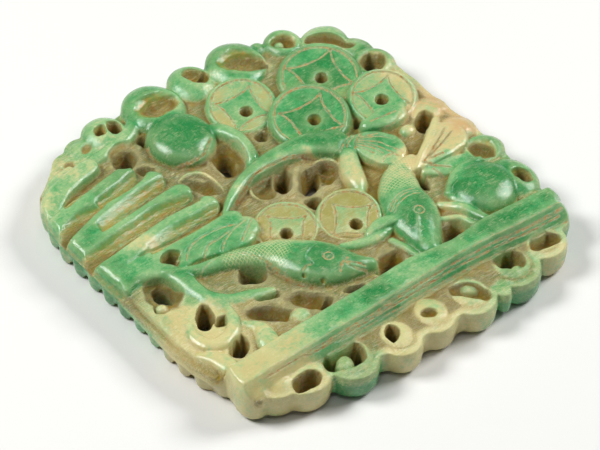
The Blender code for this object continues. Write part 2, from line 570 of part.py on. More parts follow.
def front_heights(xs, ys):
    r = Relief(xs, ys, GROUND)
    lay_ground(r)
    carve_head_clouds(r)
    carve_wave_crests(r)
    carve_hollows(r)
    for coin in COINS:
        carve_coin(r, *coin)
    carve_beads(r)
    carve_whisk(r)
    carve_strands(r)
    carve_left_fish(r)
    carve_right_fish(r)
    carve_foot_scrolls(r)
    carve_basin_rim(r)
    return np.minimum(smooth_min(r.z, front_edge(r.x, r.y), 0.3), THICKNESS)


def carve_back_fields(r):
    """Shallow sunk fields of the reverse, and three coins drawn with a ring and a middle hole."""
    fields = [
        ((-23.0, -11.5), (8.0, 7.5)),
        ((-9.0, -14.5), (5.5, 5.0)),
        ((3.5, 2.5), (7.5, 6.0)),
        ((-10.0, 12.5), (7.5, 5.5)),
        ((11.0, -15.5), (8.5, 4.0)),
        ((24.5, 2.5), (5.5, 5.0)),
    ]
    for centre, radii in fields:
        r.bowl(centre, radii, -0.8, 0.0, power=7)
    for centre, radius in (((19.8, 20.4), 6.4), ((4.6, 22.6), 5.6), ((-9.0, 25.2), 5.2)):
        turns = np.arange(13) * math.pi / 6
        ring = [
            (centre[0] + radius * math.cos(a), centre[1] + radius * math.sin(a), 0.5, -0.6)
            for a in turns
        ]
        r.groove(ring, 0.6)
        r.bowl(centre, (1.1, 1.1), -0.9, 0.0)


def back_heights(xs, ys):
    """The plainer reverse, counted downwards while it is carved so that hollows stay hollows."""
    r = Relief(xs, ys, 0.0)
    carve_back_fields(r)
    for centre, radii, turn in OPENINGS:
        r.bowl(centre, [radius + 1.3 for radius in radii], -1.2, 0.0, turn)
    lobes = HEAD_LOBES + SIDE_LOBES + FOOT_LOBES
    for (a, a_radii), (b, b_radii) in zip(lobes, lobes[1:]):
        notch = np.average((a, b), axis=0, weights=(b_radii[0], a_radii[0]))
        inward = notch * 0.86
        r.groove([(*notch * 1.06, 1.0, -1.1), (*inward, 0.7, -0.4)], 1.1)
    for y in (20.0, 15.4, 10.8, 6.2, 1.6, -3.0, -7.6, -12.2, -16.8):
        r.groove([(-35.0, y, 0.9, -1.1), (-25.0, y + 1.2, 0.8, -0.7)], 1.1)
    r.groove([(-29.0, -22.4, 0.9, -0.9), (31.5, -21.6, 0.9, -0.9)], 0.9)
    edge = rolled_edge(outline_depth(r.x, r.y), -WALL_FOOT, CLEAR, ROLL)
    return -np.minimum(smooth_min(r.z, edge, 0.4), 0.0)


def carved_block():
    """A square block of stone whose front and back carry the relief."""
    count = round(2 * REACH / STEP)
    lines = np.linspace(-REACH, REACH, count + 1)
    front = front_heights(lines, lines)
    back = np.minimum(back_heights(lines, lines), front - WEB)
    mesh = bmesh.new()
    bmesh.ops.create_grid(mesh, x_segments=count, y_segments=count, size=REACH)
    front_face = bmesh.ops.extrude_face_region(mesh, geom=mesh.faces[:])["geom"]
    front_points = {point for point in front_face if isinstance(point, bmesh.types.BMVert)}
    for point in mesh.verts:
        column = round((point.co.x + REACH) / STEP)
        row = round((point.co.y + REACH) / STEP)
        heights = front if point in front_points else back
        point.co.z = heights[column, row]
    bmesh.ops.recalc_face_normals(mesh, faces=mesh.faces[:])
    return finished_object("jade_plaque", mesh)


def outline_prism():
    """The scalloped outline as an upright prism taller than the block."""
    angles = np.arange(RIM_POINTS) * 2 * math.pi / RIM_POINTS
    near = np.full(RIM_POINTS, 20.0)
    far = np.full(RIM_POINTS, 55.0)
    for _ in range(30):
        middle = (near + far) / 2
        inside = outline_depth(middle * np.cos(angles), middle * np.sin(angles)) > 0
        near = np.where(inside, middle, near)
        far = np.where(inside, far, middle)
    mesh = bmesh.new()
    corners = [
        mesh.verts.new((r * math.cos(angle), r * math.sin(angle), CUTTER_FOOT))
        for r, angle in zip(near, angles)
    ]
    base = mesh.faces.new(corners)
    grown = bmesh.ops.extrude_face_region(mesh, geom=[base])["geom"]
    upper = [point for point in grown if isinstance(point, bmesh.types.BMVert)]
    bmesh.ops.translate(mesh, vec=(0.0, 0.0, CUTTER_HEIGHT), verts=upper)
    bmesh.ops.recalc_face_normals(mesh, faces=mesh.faces[:])
    return finished_object("outline_cutter", mesh)


def drill_bits():
    """One upright oval pin for each opening, all in one mesh."""
    mesh = bmesh.new()
    for centre, radii, turn in OPENINGS:
        pin = bmesh.ops.create_cone(
            mesh, segments=14, radius1=1.0, radius2=1.0, depth=CUTTER_HEIGHT, cap_ends=True
        )["verts"]
        bmesh.ops.scale(mesh, vec=(radii[0], radii[1], 1.0), verts=pin)
        spin = Matrix.Rotation(math.radians(turn), 3, "Z")
        bmesh.ops.rotate(mesh, matrix=spin, verts=pin)
        bmesh.ops.translate(mesh, vec=(*centre, THICKNESS / 2), verts=pin)
    return finished_object("drill_bits", mesh)


def finished_object(name, mesh):
    """Turns a mesh in millimetres into an object in metres, with its origin below its middle."""
    bmesh.ops.translate(mesh, vec=(-MIDDLE[0], -MIDDLE[1], 0.0), verts=mesh.verts[:])
    bmesh.ops.scale(mesh, vec=(MM, MM, MM), verts=mesh.verts[:])
    data = bpy.data.meshes.new(name)
    mesh.to_mesh(data)
    mesh.free()
    made = bpy.data.objects.new(name, data)
    bpy.context.scene.collection.objects.link(made)
    return made


def as_cutter(tool):
    tool.hide_render = True
    tool.display_type = "WIRE"
    return tool


def cut(target, tool, operation):
    boolean = target.modifiers.new(tool.name, "BOOLEAN")
    boolean.operation = operation
    boolean.object = as_cutter(tool)


def triangle_count(target):
    bpy.context.view_layer.update()
    evaluated = target.evaluated_get(bpy.context.evaluated_depsgraph_get())
    mesh = evaluated.to_mesh()
    mesh.calc_loop_triangles()
    count = len(mesh.loop_triangles)
    evaluated.to_mesh_clear()
    return count


def thin_out(target):
    """Merges the faces that add least to the shape, down to the wanted number."""
    decimate = target.modifiers.new("thin_out", "DECIMATE")
    decimate.use_collapse_triangulate = True
    decimate.ratio = TRIANGLES / triangle_count(target)


def jade():
    """Polished green and cream jadeite."""
    material = bpy.data.materials.new("jade")
    material.use_nodes = True
    shader = material.node_tree.nodes["Principled BSDF"]
    shader.inputs["Base Color"].default_value = (0.30, 0.52, 0.28, 1.0)
    shader.inputs["Roughness"].default_value = 0.3
    shader.inputs["Metallic"].default_value = 0.0
    return material


def main():
    for old in list(bpy.data.objects):
        bpy.data.objects.remove(old, do_unlink=True)
    plaque = carved_block()
    cut(plaque, outline_prism(), "INTERSECT")
    cut(plaque, drill_bits(), "DIFFERENCE")
    thin_out(plaque)
    plaque.data.materials.append(jade())
    plaque.data.shade_smooth()
    plaque.data.set_sharp_from_angle(angle=math.radians(50))


main()
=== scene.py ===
# %% [markdown]
# # A jade plaque with two fishes, six coins and a basin rim
# This plaque is one flat piece of green and cream jade, about 70 mm across, carved on its front
# as a deep openwork relief. The lesson builds it the way a carver does: lay out the outline,
# block in the large forms, sink the hollows, drill the openings, cut the fine lines, then
# polish the high places and leave the low ones dull.
#
# The stone could be sculpted by hand in Blender, but then nothing could be measured or moved.
# Here every form is a named row of sizes in millimetres, so each can be changed on its own.

# %% Load the measured solid and keep its size
import math

import bmesh
import bpy
import numpy as np
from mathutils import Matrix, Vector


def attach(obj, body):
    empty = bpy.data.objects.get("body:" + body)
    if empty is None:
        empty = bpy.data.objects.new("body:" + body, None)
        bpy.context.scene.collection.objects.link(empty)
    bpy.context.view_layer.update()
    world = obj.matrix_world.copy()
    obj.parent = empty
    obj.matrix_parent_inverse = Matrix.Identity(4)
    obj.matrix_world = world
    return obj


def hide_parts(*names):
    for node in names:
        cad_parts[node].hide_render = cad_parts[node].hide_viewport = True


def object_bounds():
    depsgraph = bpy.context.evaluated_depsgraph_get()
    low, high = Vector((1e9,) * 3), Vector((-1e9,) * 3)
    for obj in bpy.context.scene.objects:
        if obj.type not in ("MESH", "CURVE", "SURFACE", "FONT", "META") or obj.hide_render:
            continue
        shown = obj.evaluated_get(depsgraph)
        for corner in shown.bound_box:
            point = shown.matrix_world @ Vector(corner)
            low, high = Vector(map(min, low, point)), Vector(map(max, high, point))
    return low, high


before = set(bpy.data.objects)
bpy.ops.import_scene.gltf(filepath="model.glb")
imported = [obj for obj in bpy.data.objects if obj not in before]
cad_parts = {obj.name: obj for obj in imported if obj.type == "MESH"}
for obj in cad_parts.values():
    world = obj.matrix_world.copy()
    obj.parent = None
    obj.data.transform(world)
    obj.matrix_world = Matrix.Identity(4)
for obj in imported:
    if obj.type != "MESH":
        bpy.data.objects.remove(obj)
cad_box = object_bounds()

import openvdb
from mathutils import Vector

MM = 0.001
print("solid measures, mm:", [round((b - a) / MM, 2) for a, b in zip(*cad_box)])

# %% [markdown]
# ## The drawing board
# The front of the plaque is nearly a map: for each place on it there is one height. So the
# carving can be done on a grid of heights, which is fast and keeps every edge where it was
# drawn. The back is a second grid. Only the side walls and the drilled openings need real
# depth, and they are joined later in a block of small cells.

# %% Lay out the grid of carved points
THICKNESS = 8.2  # highest crest of the front above the underside
GROUND = 5.3  # sunk ground of the front
WALL_TOP = 4.4  # where the rounding of the front meets the side wall
WALL_FOOT = 2.3  # where the side wall meets the rounding of the back
ROLL = 3.2  # width of the rounding along the edge
SCALLOP = 3.9  # spacing of the scallops under the band of the left wall
WEB = 1.1  # least thickness between a front and a back hollow
MIDDLE = (-0.4, 0.3)  # middle of the outline, which is the origin of the finished piece
STEP = 0.16

lines_x = np.arange(-36.0, 36.0 + STEP, STEP)
lines_y = np.arange(-38.0, 38.0 + STEP, STEP)
X, Y = np.meshgrid(lines_x, lines_y, indexing="ij")
print("grid of", X.shape, "points,", STEP, "mm apart")

# %% [markdown]
# ## Joining two heights
# Where two forms meet, a carver's wheel leaves a small fillet, never a knife edge. A plain
# maximum of two heights gives a hard crease, so a blended maximum is used instead. The same
# formula turned over joins hollows. Long forms follow a smooth curve through a few points, and
# a soft seeded noise keeps hand-cut shapes from looking turned on a lathe.

# %% Blended maximum and minimum, a smooth curve and a soft noise
def smooth_max(a, b, blend):
    """The larger of two heights, with a fillet of about blend where they cross."""
    mix = np.clip(0.5 + 0.5 * (a - b) / blend, 0.0, 1.0)
    return b + (a - b) * mix + blend * mix * (1.0 - mix)


def smooth_min(a, b, blend):
    return -smooth_max(-a, -b, blend)


def fade(value, start, end):
    """0 below start and 1 above end, with a soft rise between them."""
    t = np.clip((value - start) / (end - start), 0.0, 1.0)
    return t * t * (3.0 - 2.0 * t)


def curve_through(points, steps=6):
    """Rows read from the Catmull-Rom curve through the given rows."""
    rows = [np.array(row, float) for row in points]
    rows = [2 * rows[0] - rows[1]] + rows + [2 * rows[-1] - rows[-2]]
    found = []
    for a, b, c, d in zip(rows, rows[1:], rows[2:], rows[3:]):
        for t in np.arange(steps) / steps:
            bend = 2 * a - 5 * b + 4 * c - d
            twist = 3 * b - a - 3 * c + d
            found.append(0.5 * (2 * b + (c - a) * t + bend * t**2 + twist * t**3))
    found.append(rows[-2])
    return np.array(found)


def soft_noise(x, y, size, seed):
    """Smooth random heights from -1 to 1, whose lumps are about size across."""
    u = x / size + 17.3 * seed
    v = y / size - 9.1 * seed

    def knot(i, j):
        wave = np.sin(i * 127.1 + j * 311.7 + seed * 74.7) * 43758.5453
        return wave - np.floor(wave)

    i = np.floor(u)
    j = np.floor(v)
    s = fade(u - i, 0.0, 1.0)
    t = fade(v - j, 0.0, 1.0)
    low = knot(i, j) * (1 - s) + knot(i + 1, j) * s
    high = knot(i, j + 1) * (1 - s) + knot(i + 1, j + 1) * s
    return 2.0 * (low * (1 - t) + high * t) - 1.0


print("halfway between 1 and 1 with a fillet of 0.4:", float(smooth_max(1.0, 1.0, 0.4)))

# %% [markdown]
# ## A face that remembers how it was worked
# A face of the stone is a map of heights. It also notes what was done at each place: a laid
# form counts as polished, a scraped place as dug, which means dull and stained, and a thin
# line as cut. The finish is read from these notes later, so it always follows the carving.
#
# Every stroke needs one of two measures, in the stroke's own width: how far each point lies
# from the middle of an oval, or from a curve. Both are worked out only near the stroke, which
# keeps hundreds of strokes fast.

# %% One face of the stone
WAVER_X = soft_noise(X, Y, 1.9, 21) + 0.5 * soft_noise(X, Y, 0.9, 22)
WAVER_Y = soft_noise(X, Y, 1.9, 23) + 0.5 * soft_noise(X, Y, 0.9, 24)


class Face:
    """Heights of one face of the stone, and notes on how each place was worked."""

    def __init__(self, ground):
        self.z = np.full(X.shape, float(ground))
        self.cut = np.zeros(X.shape)  # thin lines
        self.pale = np.zeros(X.shape)  # petals of the coins
        self.polish = np.zeros(X.shape)
        self.dug = np.zeros(X.shape)
        self.scaly = np.zeros(X.shape)  # skin of the fishes
        self.run = np.zeros(X.shape)  # distance along a fish
        self.side = np.zeros(X.shape)  # distance from its middle line

    def window(self, points, reach):
        """The part of the grid that lies within reach of the points."""
        low = np.min(points, axis=0) - reach
        high = np.max(points, axis=0) + reach
        across = np.searchsorted(lines_x, (low[0], high[0]))
        along = np.searchsorted(lines_y, (low[1], high[1]))
        return slice(*across), slice(*along)

    def oval(self, centre, radii, turn, reach, waver=0.0):
        """Distance from the middle of an oval, counted in its own radii."""
        at = self.window([centre], max(radii) * reach)
        x = X[at] - centre[0] + waver * WAVER_X[at]
        y = Y[at] - centre[1] + waver * WAVER_Y[at]
        c = math.cos(math.radians(turn))
        s = math.sin(math.radians(turn))
        return at, np.hypot((x * c + y * s) / radii[0], (y * c - x * s) / radii[1])

    def stroke(self, points, reach):
        """Along a curve whose rows are x, y, half width and height, for each grid point near it:
        the distance in half widths, half width, height, length run so far and signed distance."""
        line = curve_through(points)
        at = self.window(line[:, :2], reach * line[:, 2].max())
        x = X[at]
        y = Y[at]
        nearest = np.full(x.shape, np.inf)
        found = np.zeros((4, *x.shape))
        run_so_far = 0.0
        for a, b in zip(line, line[1:]):
            step = b[:2] - a[:2]
            length = math.hypot(*step)
            t = np.clip(((x - a[0]) * step[0] + (y - a[1]) * step[1]) / length**2, 0.0, 1.0)
            away = np.hypot(x - a[0] - t * step[0], y - a[1] - t * step[1])
            side = (step[0] * (y - a[1]) - step[1] * (x - a[0])) / length
            here = np.stack([
                a[2] + t * (b[2] - a[2]), a[3] + t * (b[3] - a[3]), run_so_far + t * length, side
            ])
            closer = away < nearest
            found = np.where(closer, here, found)
            nearest = np.where(closer, away, nearest)
            run_so_far += length
        return at, nearest / found[0], *found

    def cover(self, at, form, blend):
        """Lays a polished form over the face, and wipes out the thin lines below it."""
        laid = fade(form - self.z[at], 0.0, 0.25)
        self.cut[at] *= 1.0 - laid
        self.pale[at] *= 1.0 - laid
        self.scaly[at] *= 1.0 - laid
        self.dug[at] *= 1.0 - laid
        self.polish[at] = np.maximum(self.polish[at], laid)
        self.z[at] = smooth_max(self.z[at], form, blend)

    def scrape(self, at, form, blend):
        """Cuts the face down to a form, which leaves it unpolished and stained there."""
        self.polish[at] *= 1.0 - fade(self.z[at] - form, 0.1, 0.5)
        self.dug[at] = np.maximum(self.dug[at], fade(self.z[at] - form, 0.1, 0.9))
        self.z[at] = smooth_min(self.z[at], form, blend)


print("grid points on a face:", X.size)

# %% [markdown]
# ## Five strokes
# Five strokes make nearly everything here. A dome raises a rounded boss, a band raises a
# rounded strand along a curve, a bowl sinks a round hollow, a groove sinks a channel, and an
# incised line takes a thin cut out of whatever is already there. Each raised form has a
# steep skirt below its edge instead of a sheer drop, so that the finished mesh doesn't step.

# %% The five strokes
SKIRT = 4.5  # fall of the skirt below a raised form, per unit of width


class Carving(Face):
    """A face with the carver's strokes. Blend is the width of the fillet where forms meet."""

    def raise_cap(self, at, share, width, top, drop, blend, power=2.0):
        """A rounded top inside share 1, and a steep skirt outside it. A higher power is flatter."""
        cap = top - drop * (1.0 - np.clip(1.0 - share**power, 0.0, 1.0) ** (1.0 / power))
        skirt = SKIRT * width * np.clip(share - 1.0, 0.0, None)
        self.cover(at, cap - skirt, blend)

    def dome(self, centre, radii, top, drop, turn=0, blend=0.4, power=2.0):
        """A rounded boss, drop lower at its edge than at its top."""
        at, share = self.oval(centre, radii, turn, 1.0 + 1.2 / min(radii))
        self.raise_cap(at, share, min(radii), top, drop, blend, power)

    def band(self, points, drop, blend=0.4, power=2.0):
        """A rounded strand along a curve."""
        slimmest = min(point[2] for point in points)
        at, share, width, top, _, _ = self.stroke(points, 1.0 + 1.2 / slimmest)
        self.raise_cap(at, share, width, top, drop, blend, power)

    def scale(self, points, start, end):
        """Marks a strand as scaly between two distances along it."""
        at, share, _, _, run, side = self.stroke(points, 1.0)
        between = fade(run, start, start + 1.0) * fade(end - run, 0.0, 1.0)
        marked = fade(1.0 - share, 0.05, 0.25) * between
        self.scaly[at] = np.maximum(self.scaly[at], marked)
        self.run[at] = run
        self.side[at] = side

    def bowl(self, centre, radii, floor, rim, turn=0, blend=0.3, power=3.0, waver=0.3):
        """A hollow that reaches rim height at its radii. Waver makes its edge uneven."""
        at, share = self.oval(centre, radii, turn, 2.0, waver)
        wall = floor + (rim - floor) * share**power
        self.scrape(at, wall, blend)

    def groove(self, points, depth, blend=0.3, power=2.5, lean=0.0):
        """A channel along a curve, whose heights are its floor. Lean moves its lowest line to
        one side, as a tilted wheel does, so that one wall is steep and the other gentle."""
        at, share, width, floor, _, side = self.stroke(points, 2.2)
        across = side / width
        past_end = np.sqrt(np.clip(share**2 - across**2, 0.0, None))
        across = np.where(
            across > lean, (across - lean) / (1.0 - lean), (lean - across) / (1.0 + lean)
        )
        self.scrape(at, floor + depth * np.hypot(across, past_end) ** power, blend)

    def incise(self, points, width=0.18, depth=0.16, stain=1.0):
        """A thin line cut into whatever is there. Each point is x and y."""
        rows = [(x, y, width, 0.0) for x, y in points]
        at, share, _, _, _, _ = self.stroke(rows, 2.5)
        profile = np.exp(-(share**2))
        self.z[at] -= depth * profile
        self.cut[at] = np.maximum(self.cut[at], stain * profile)


def round_line(centre, radius, corners=24):
    """Points of a closed ring."""
    turns = np.linspace(0.0, 2 * math.pi, corners + 1)
    return [(centre[0] + radius * math.cos(a), centre[1] + radius * math.sin(a)) for a in turns]


def lay_strands(strands):
    """Raises one strand after another. A row is its points and drop, and where they aren't
    the usual ones its blend and power too."""
    for points, *shape in strands:
        front.band(points, *shape)


def cut_lines(lines):
    """Cuts one line after another. A row is its points, width, depth and stain."""
    for points, *shape in lines:
        front.incise(points, *shape)


front = Carving(GROUND)
print("ground laid at", GROUND, "mm")

# %% [markdown]
# ## The scalloped outline
# The edge is a row of cloud and foam lobes, more even along the foot than along the head. It
# could be drawn as one long curve, but then moving a lobe would mean moving ten points. So
# the outline is a straight-sided field with an oval for each lobe, joined by the blended
# maximum. The result is not a line but a depth: how far inside the edge each point lies.

# %% Measure the depth inside the outline
HEAD_LOBES = [
    ((-24.2, 29.5), (3.2, 3.1)),
    ((-20.8, 30.7), (3.3, 3.4)),
    ((-15.9, 31.8), (4.0, 4.0)),
    ((-6.4, 31.4), (5.3, 5.7)),
    ((2.3, 32.7), (4.1, 4.5)),
    ((10.5, 31.6), (5.1, 5.5)),
    ((15.9, 32.8), (1.7, 1.8)),
    ((20.0, 31.2), (3.4, 3.6)),
    ((25.9, 27.7), (4.2, 4.0)),
    ((29.0, 22.9), (2.9, 3.4)),
    ((29.2, 18.7), (3.9, 4.0)),
]
SIDE_LOBES = [
    ((28.7, 11.2), (4.0, 4.6)),
    ((29.3, 4.6), (4.0, 3.6)),
    ((30.3, -1.8), (3.8, 3.5)),
    ((31.1, -8.0), (3.9, 3.5)),
    ((30.8, -16.2), (4.0, 5.2)),
]
FOOT_LOBES = [
    ((29.8, -26.3), (3.8, 3.3)),
    ((26.0, -29.3), (4.3, 4.3)),
    ((18.8, -31.0), (4.7, 4.7)),
    ((14.4, -34.0), (1.4, 1.8)),
    ((9.6, -31.7), (4.3, 4.8)),
    ((2.2, -31.3), (3.9, 4.5)),
    ((-5.0, -31.8), (4.0, 4.7)),
    ((-13.6, -31.0), (4.6, 5.0)),
    ((-21.4, -29.5), (4.6, 4.4)),
    ((-25.6, -27.8), (4.2, 4.1)),
    ((-29.5, -27.0), (2.9, 3.3)),
]
# Corners of the straight-sided field that the lobes grow from, clockwise from the left side
FIELD = [
    (-35.1, -13.5), (-35.0, -8.0), (-35.0, -2.0), (-35.4, 4.0), (-35.6, 11.0),
    (-35.7, 16.5), (-35.2, 20.5), (-34.2, 24.0), (-32.4, 26.6), (-30.0, 28.4),
    (-27.2, 30.8), (-18.0, 33.4), (-6.0, 34.9), (12.0, 34.4), (23.2, 30.6), (30.6, 24.2),
    (32.4, 16.0), (32.8, 5.0), (33.6, -1.0), (33.9, -10.0), (33.2, -20.0),
    (34.0, -22.6), (34.0, -24.6), (31.7, -27.5), (22.2, -31.9), (10.0, -34.6),
    (-5.0, -34.6), (-20.0, -32.3), (-30.6, -28.9), (-32.3, -26.4), (-31.9, -23.4),
    (-33.6, -21.5), (-34.4, -18.5),
]


def polygon_depth(x, y, corners):
    """Distance to the nearest side of a polygon, positive inside it."""
    away = np.full(x.shape, np.inf)
    inside = np.zeros(x.shape, bool)
    for a, b in zip(corners, corners[1:] + corners[:1]):
        run = np.subtract(b, a)
        t = np.clip(((x - a[0]) * run[0] + (y - a[1]) * run[1]) / (run @ run), 0.0, 1.0)
        away = np.minimum(away, np.hypot(x - a[0] - t * run[0], y - a[1] - t * run[1]))
        if a[1] != b[1]:
            crossing = a[0] + (y - a[1]) * run[0] / run[1]
            inside ^= ((a[1] > y) != (b[1] > y)) & (x < crossing)
    return np.where(inside, away, -away)


edge_depth = polygon_depth(X, Y, FIELD)
for centre, radii in HEAD_LOBES + SIDE_LOBES + FOOT_LOBES:
    share = np.hypot((X - centre[0]) / radii[0], (Y - centre[1]) / radii[1])
    edge_depth = smooth_max(edge_depth, (1.0 - share) * min(radii), 0.5)
print("area inside the edge, mm2:", round(float((edge_depth > 0).sum()) * STEP**2))

# %% [markdown]
# ## Blocking in the ground and the clouds
# A carver starts with the big masses. The sunk ground is not flat: it swells under the fishes
# and the coins. Round the head stands a row of cloud lobes, each a low dome with a scooped
# hollow, and one long cloud tail lies between them.

# %% Lay the ground and its shelf
SWELLS = [  # centre, radii, top, drop at the edge, blend
    ((-29.0, -11.0), (7.5, 13.0), 6.2, 1.0, 0.8),
    ((-20.0, -14.0), (8.0, 8.0), 5.6, 0.8, 0.8),
    ((4.0, 1.5), (9.5, 8.0), 5.5, 0.8, 0.8),
    ((-2.5, 15.0), (7.0, 6.5), 5.3, 0.8, 0.8),
    ((22.0, -13.0), (11.0, 9.0), 5.4, 0.8, 0.8),
    ((14.0, 28.0), (6.0, 4.0), 5.6, 0.8, 0.4),
    ((26.0, 4.0), (5.5, 4.0), 5.6, 1.0, 0.4),
]
for centre, radii, top, drop, blend in SWELLS:
    front.dome(centre, radii, top, drop, blend=blend)
front.band([
    (31.0, 14.0, 2.6, 5.2), (30.0, 4.0, 2.6, 5.3), (30.5, -5.0, 2.6, 5.3),
    (30.6, -12.0, 2.4, 5.5), (30.8, -19.5, 2.6, 6.0),
], drop=1.2, blend=0.6)
front.polish[:] = 0.0  # the ground is never polished
print("highest ground, mm:", round(float(front.z.max()), 2))

# %% Raise the clouds of the head
HEAD_TOPS = (5.8, 6.2, 7.0, 7.6, 7.0, 7.6, 6.4, 7.0, 6.8, 6.2, 6.8)
for (centre, radii), top in zip(HEAD_LOBES, HEAD_TOPS):
    front.dome(centre, radii, top, drop=2.2, blend=0.5)
front.band([
    (-22.0, 27.6, 1.2, 6.2), (-17.0, 28.0, 1.4, 6.6),
    (-12.8, 29.2, 1.4, 6.6), (-10.6, 31.2, 1.2, 6.6),
], drop=1.2)
print("cloud lobes raised:", len(HEAD_LOBES))

# %% Raise the lobes of the right side
SIDE_TOPS = (6.2, 6.4, 6.6, 6.9, 7.1)
for (centre, radii), top in zip(SIDE_LOBES, SIDE_TOPS):
    front.dome(centre, radii, top, drop=2.4, blend=0.5)
print("side lobes raised:", len(SIDE_LOBES))

# %% Scoop the clouds
SCOOPS = [  # centre, radii, floor, rim height, turn
    ((-24.6, 29.4), (1.7, 1.3), 5.2, 6.2, 20),
    ((-20.2, 30.6), (1.6, 0.9), 5.4, 6.3, 40),
    ((-16.6, 31.9), (1.3, 1.1), 4.6, 6.5, 72),
    ((-14.1, 31.4), (1.9, 1.2), 3.2, 6.5, 63),
    ((-5.2, 31.0), (3.9, 2.1), 4.8, 6.9, -6),
    ((3.4, 33.2), (2.5, 1.6), 4.6, 6.4, -78),
    ((4.3, 32.3), (1.4, 1.1), 3.2, 6.0, 57),
    ((12.0, 30.6), (4.1, 2.1), 4.5, 6.9, -32),
    ((13.9, 29.0), (0.9, 0.7), 3.0, 5.2, -48),
    ((19.9, 31.2), (2.3, 1.8), 4.3, 6.6, -39),
    ((29.2, 18.6), (2.5, 2.1), 3.8, 6.3, 0),
    ((29.0, 19.4), (1.3, 1.1), 2.6, 4.9, 49),
]

WIDE = 1.6  # least radius of a hollow that gets a shoulder


def scoop(centre, radii, floor, rim, turn):
    """A hollow, with a shallow shoulder round it where it is wide."""
    if min(radii) > WIDE:
        shoulder = [1.3 * radius for radius in radii]
        front.bowl(centre, shoulder, rim - 0.5, rim + 0.2, turn, power=5)
    front.bowl(centre, radii, floor, rim, turn, blend=0.4)


for row in SCOOPS:
    scoop(*row)
front.dome((-5.2, 28.6), (1.0, 0.8), 6.2, 1.0)
front.dome((10.2, 29.4), (1.2, 1.0), 6.3, 1.2)
front.dome((19.4, 31.6), (0.9, 0.8), 5.7, 0.9)
front.groove([(23.8, 29.0, 1.1, 4.6), (26.6, 26.8, 1.2, 4.3), (28.6, 24.2, 1.0, 4.6)], 1.9)
for inset in (0.0, 0.9, 1.8):
    left_arc = [(-8.4 + inset, 31.8), (-6.2 + 0.6 * inset, 29.9 + 0.6 * inset), (-3.0, 29.6 + inset)]
    right_arc = [(9.0 + inset, 32.6), (10.4 + 0.8 * inset, 30.2 + 0.4 * inset), (13.2, 28.9 + inset)]
    cut_lines([(left_arc, 0.2, 0.2, 0.6), (right_arc, 0.2, 0.2, 0.6)])
print("deepest scoop, mm:", round(float(front.z[edge_depth > ROLL].min()), 2))

# %% [markdown]
# ## Wave crests on the left
# Seven slanting crests run from the left edge to the upper bead. Each is a broad flat-topped
# band. Channels with round ends run between them, where the carver's wheel was let down, and
# most stop short of the edge, so the crests join there. The wheel was tilted, so one wall of
# each channel is steep and the other is gentle.

# %% Raise the crests and cut their channels
front.band([(-32.5, 20.0, 3.0, 6.2), (-32.5, 10.0, 3.2, 6.4), (-31.5, 3.0, 3.4, 6.4)], drop=1.2)
CRESTS = [
    [(-31.5, 25.9, 1.1, 5.6), (-28.5, 27.3, 1.1, 6.4), (-25.5, 28.0, 0.9, 6.4)],
    [(-33.0, 22.9, 1.9, 6.3), (-29.0, 25.1, 1.9, 7.0), (-22.8, 26.4, 1.7, 7.1)],
    [(-34.0, 18.8, 2.1, 6.7), (-27.3, 20.2, 2.1, 7.3), (-19.4, 21.4, 1.9, 7.3)],
    [(-34.2, 14.1, 2.1, 6.8), (-27.3, 16.2, 2.1, 7.3), (-16.2, 17.8, 1.8, 7.2)],
    [(-34.2, 11.4, 2.1, 6.8), (-27.3, 12.0, 2.1, 7.3), (-14.3, 12.8, 1.8, 7.1)],
    [(-34.2, 5.6, 2.1, 6.8), (-27.3, 7.4, 2.1, 7.2), (-12.4, 8.1, 1.8, 7.1)],
    [(-34.2, 2.6, 2.3, 6.7), (-27.3, 3.2, 2.0, 7.0), (-10.8, 3.4, 1.6, 6.8)],
]
CHANNELS = [
    [(-30.5, 21.9, 1.3, 5.6), (-25.6, 23.0, 1.4, 5.4), (-20.4, 23.9, 1.2, 5.1)],
    [(-35.2, 16.0, 1.3, 4.7), (-30.6, 17.3, 1.3, 5.1), (-27.2, 17.7, 0.9, 5.6)],
    [(-26.2, 18.3, 1.0, 5.7), (-21.0, 18.9, 1.2, 5.4), (-17.6, 19.7, 1.1, 5.0)],
    [(-28.6, 14.0, 1.4, 5.7), (-22.4, 14.9, 1.5, 5.4), (-14.8, 15.9, 1.3, 5.0)],
    [
        (-35.2, 9.1, 1.4, 4.7), (-30.6, 9.3, 1.5, 5.1), (-25.4, 9.9, 1.4, 5.2),
        (-19.6, 10.7, 1.4, 5.2), (-13.6, 10.3, 1.1, 4.9),
    ],
    [(-25.2, 5.3, 1.4, 5.7), (-20.4, 5.7, 1.6, 5.4), (-15.6, 5.7, 1.4, 5.2), (-11.4, 6.0, 1.1, 5.0)],
]
WHEEL_LIFT = 0.15  # the wheel cuts this far above the drawn line
WHEEL_EXTRA = 0.2  # and this much wider on either side
for crest in CRESTS:
    front.band(crest, drop=0.9, blend=0.3, power=2.6)
for channel in CHANNELS:
    cut = [(x, y + WHEEL_LIFT, width + WHEEL_EXTRA, floor) for x, y, width, floor in channel]
    front.groove(cut, depth=1.9, blend=0.3, power=1.5, lean=-0.7)
print("crests:", len(CRESTS), "channels:", len(CHANNELS))

# %% [markdown]
# ## Hollows of the ground
# The openwork is full of drilled and scraped hollows. In a few of them a small knob is left
# standing, and thin dull ridges are left between others. They are cut before the coins and
# fishes are raised, because those lie over them.

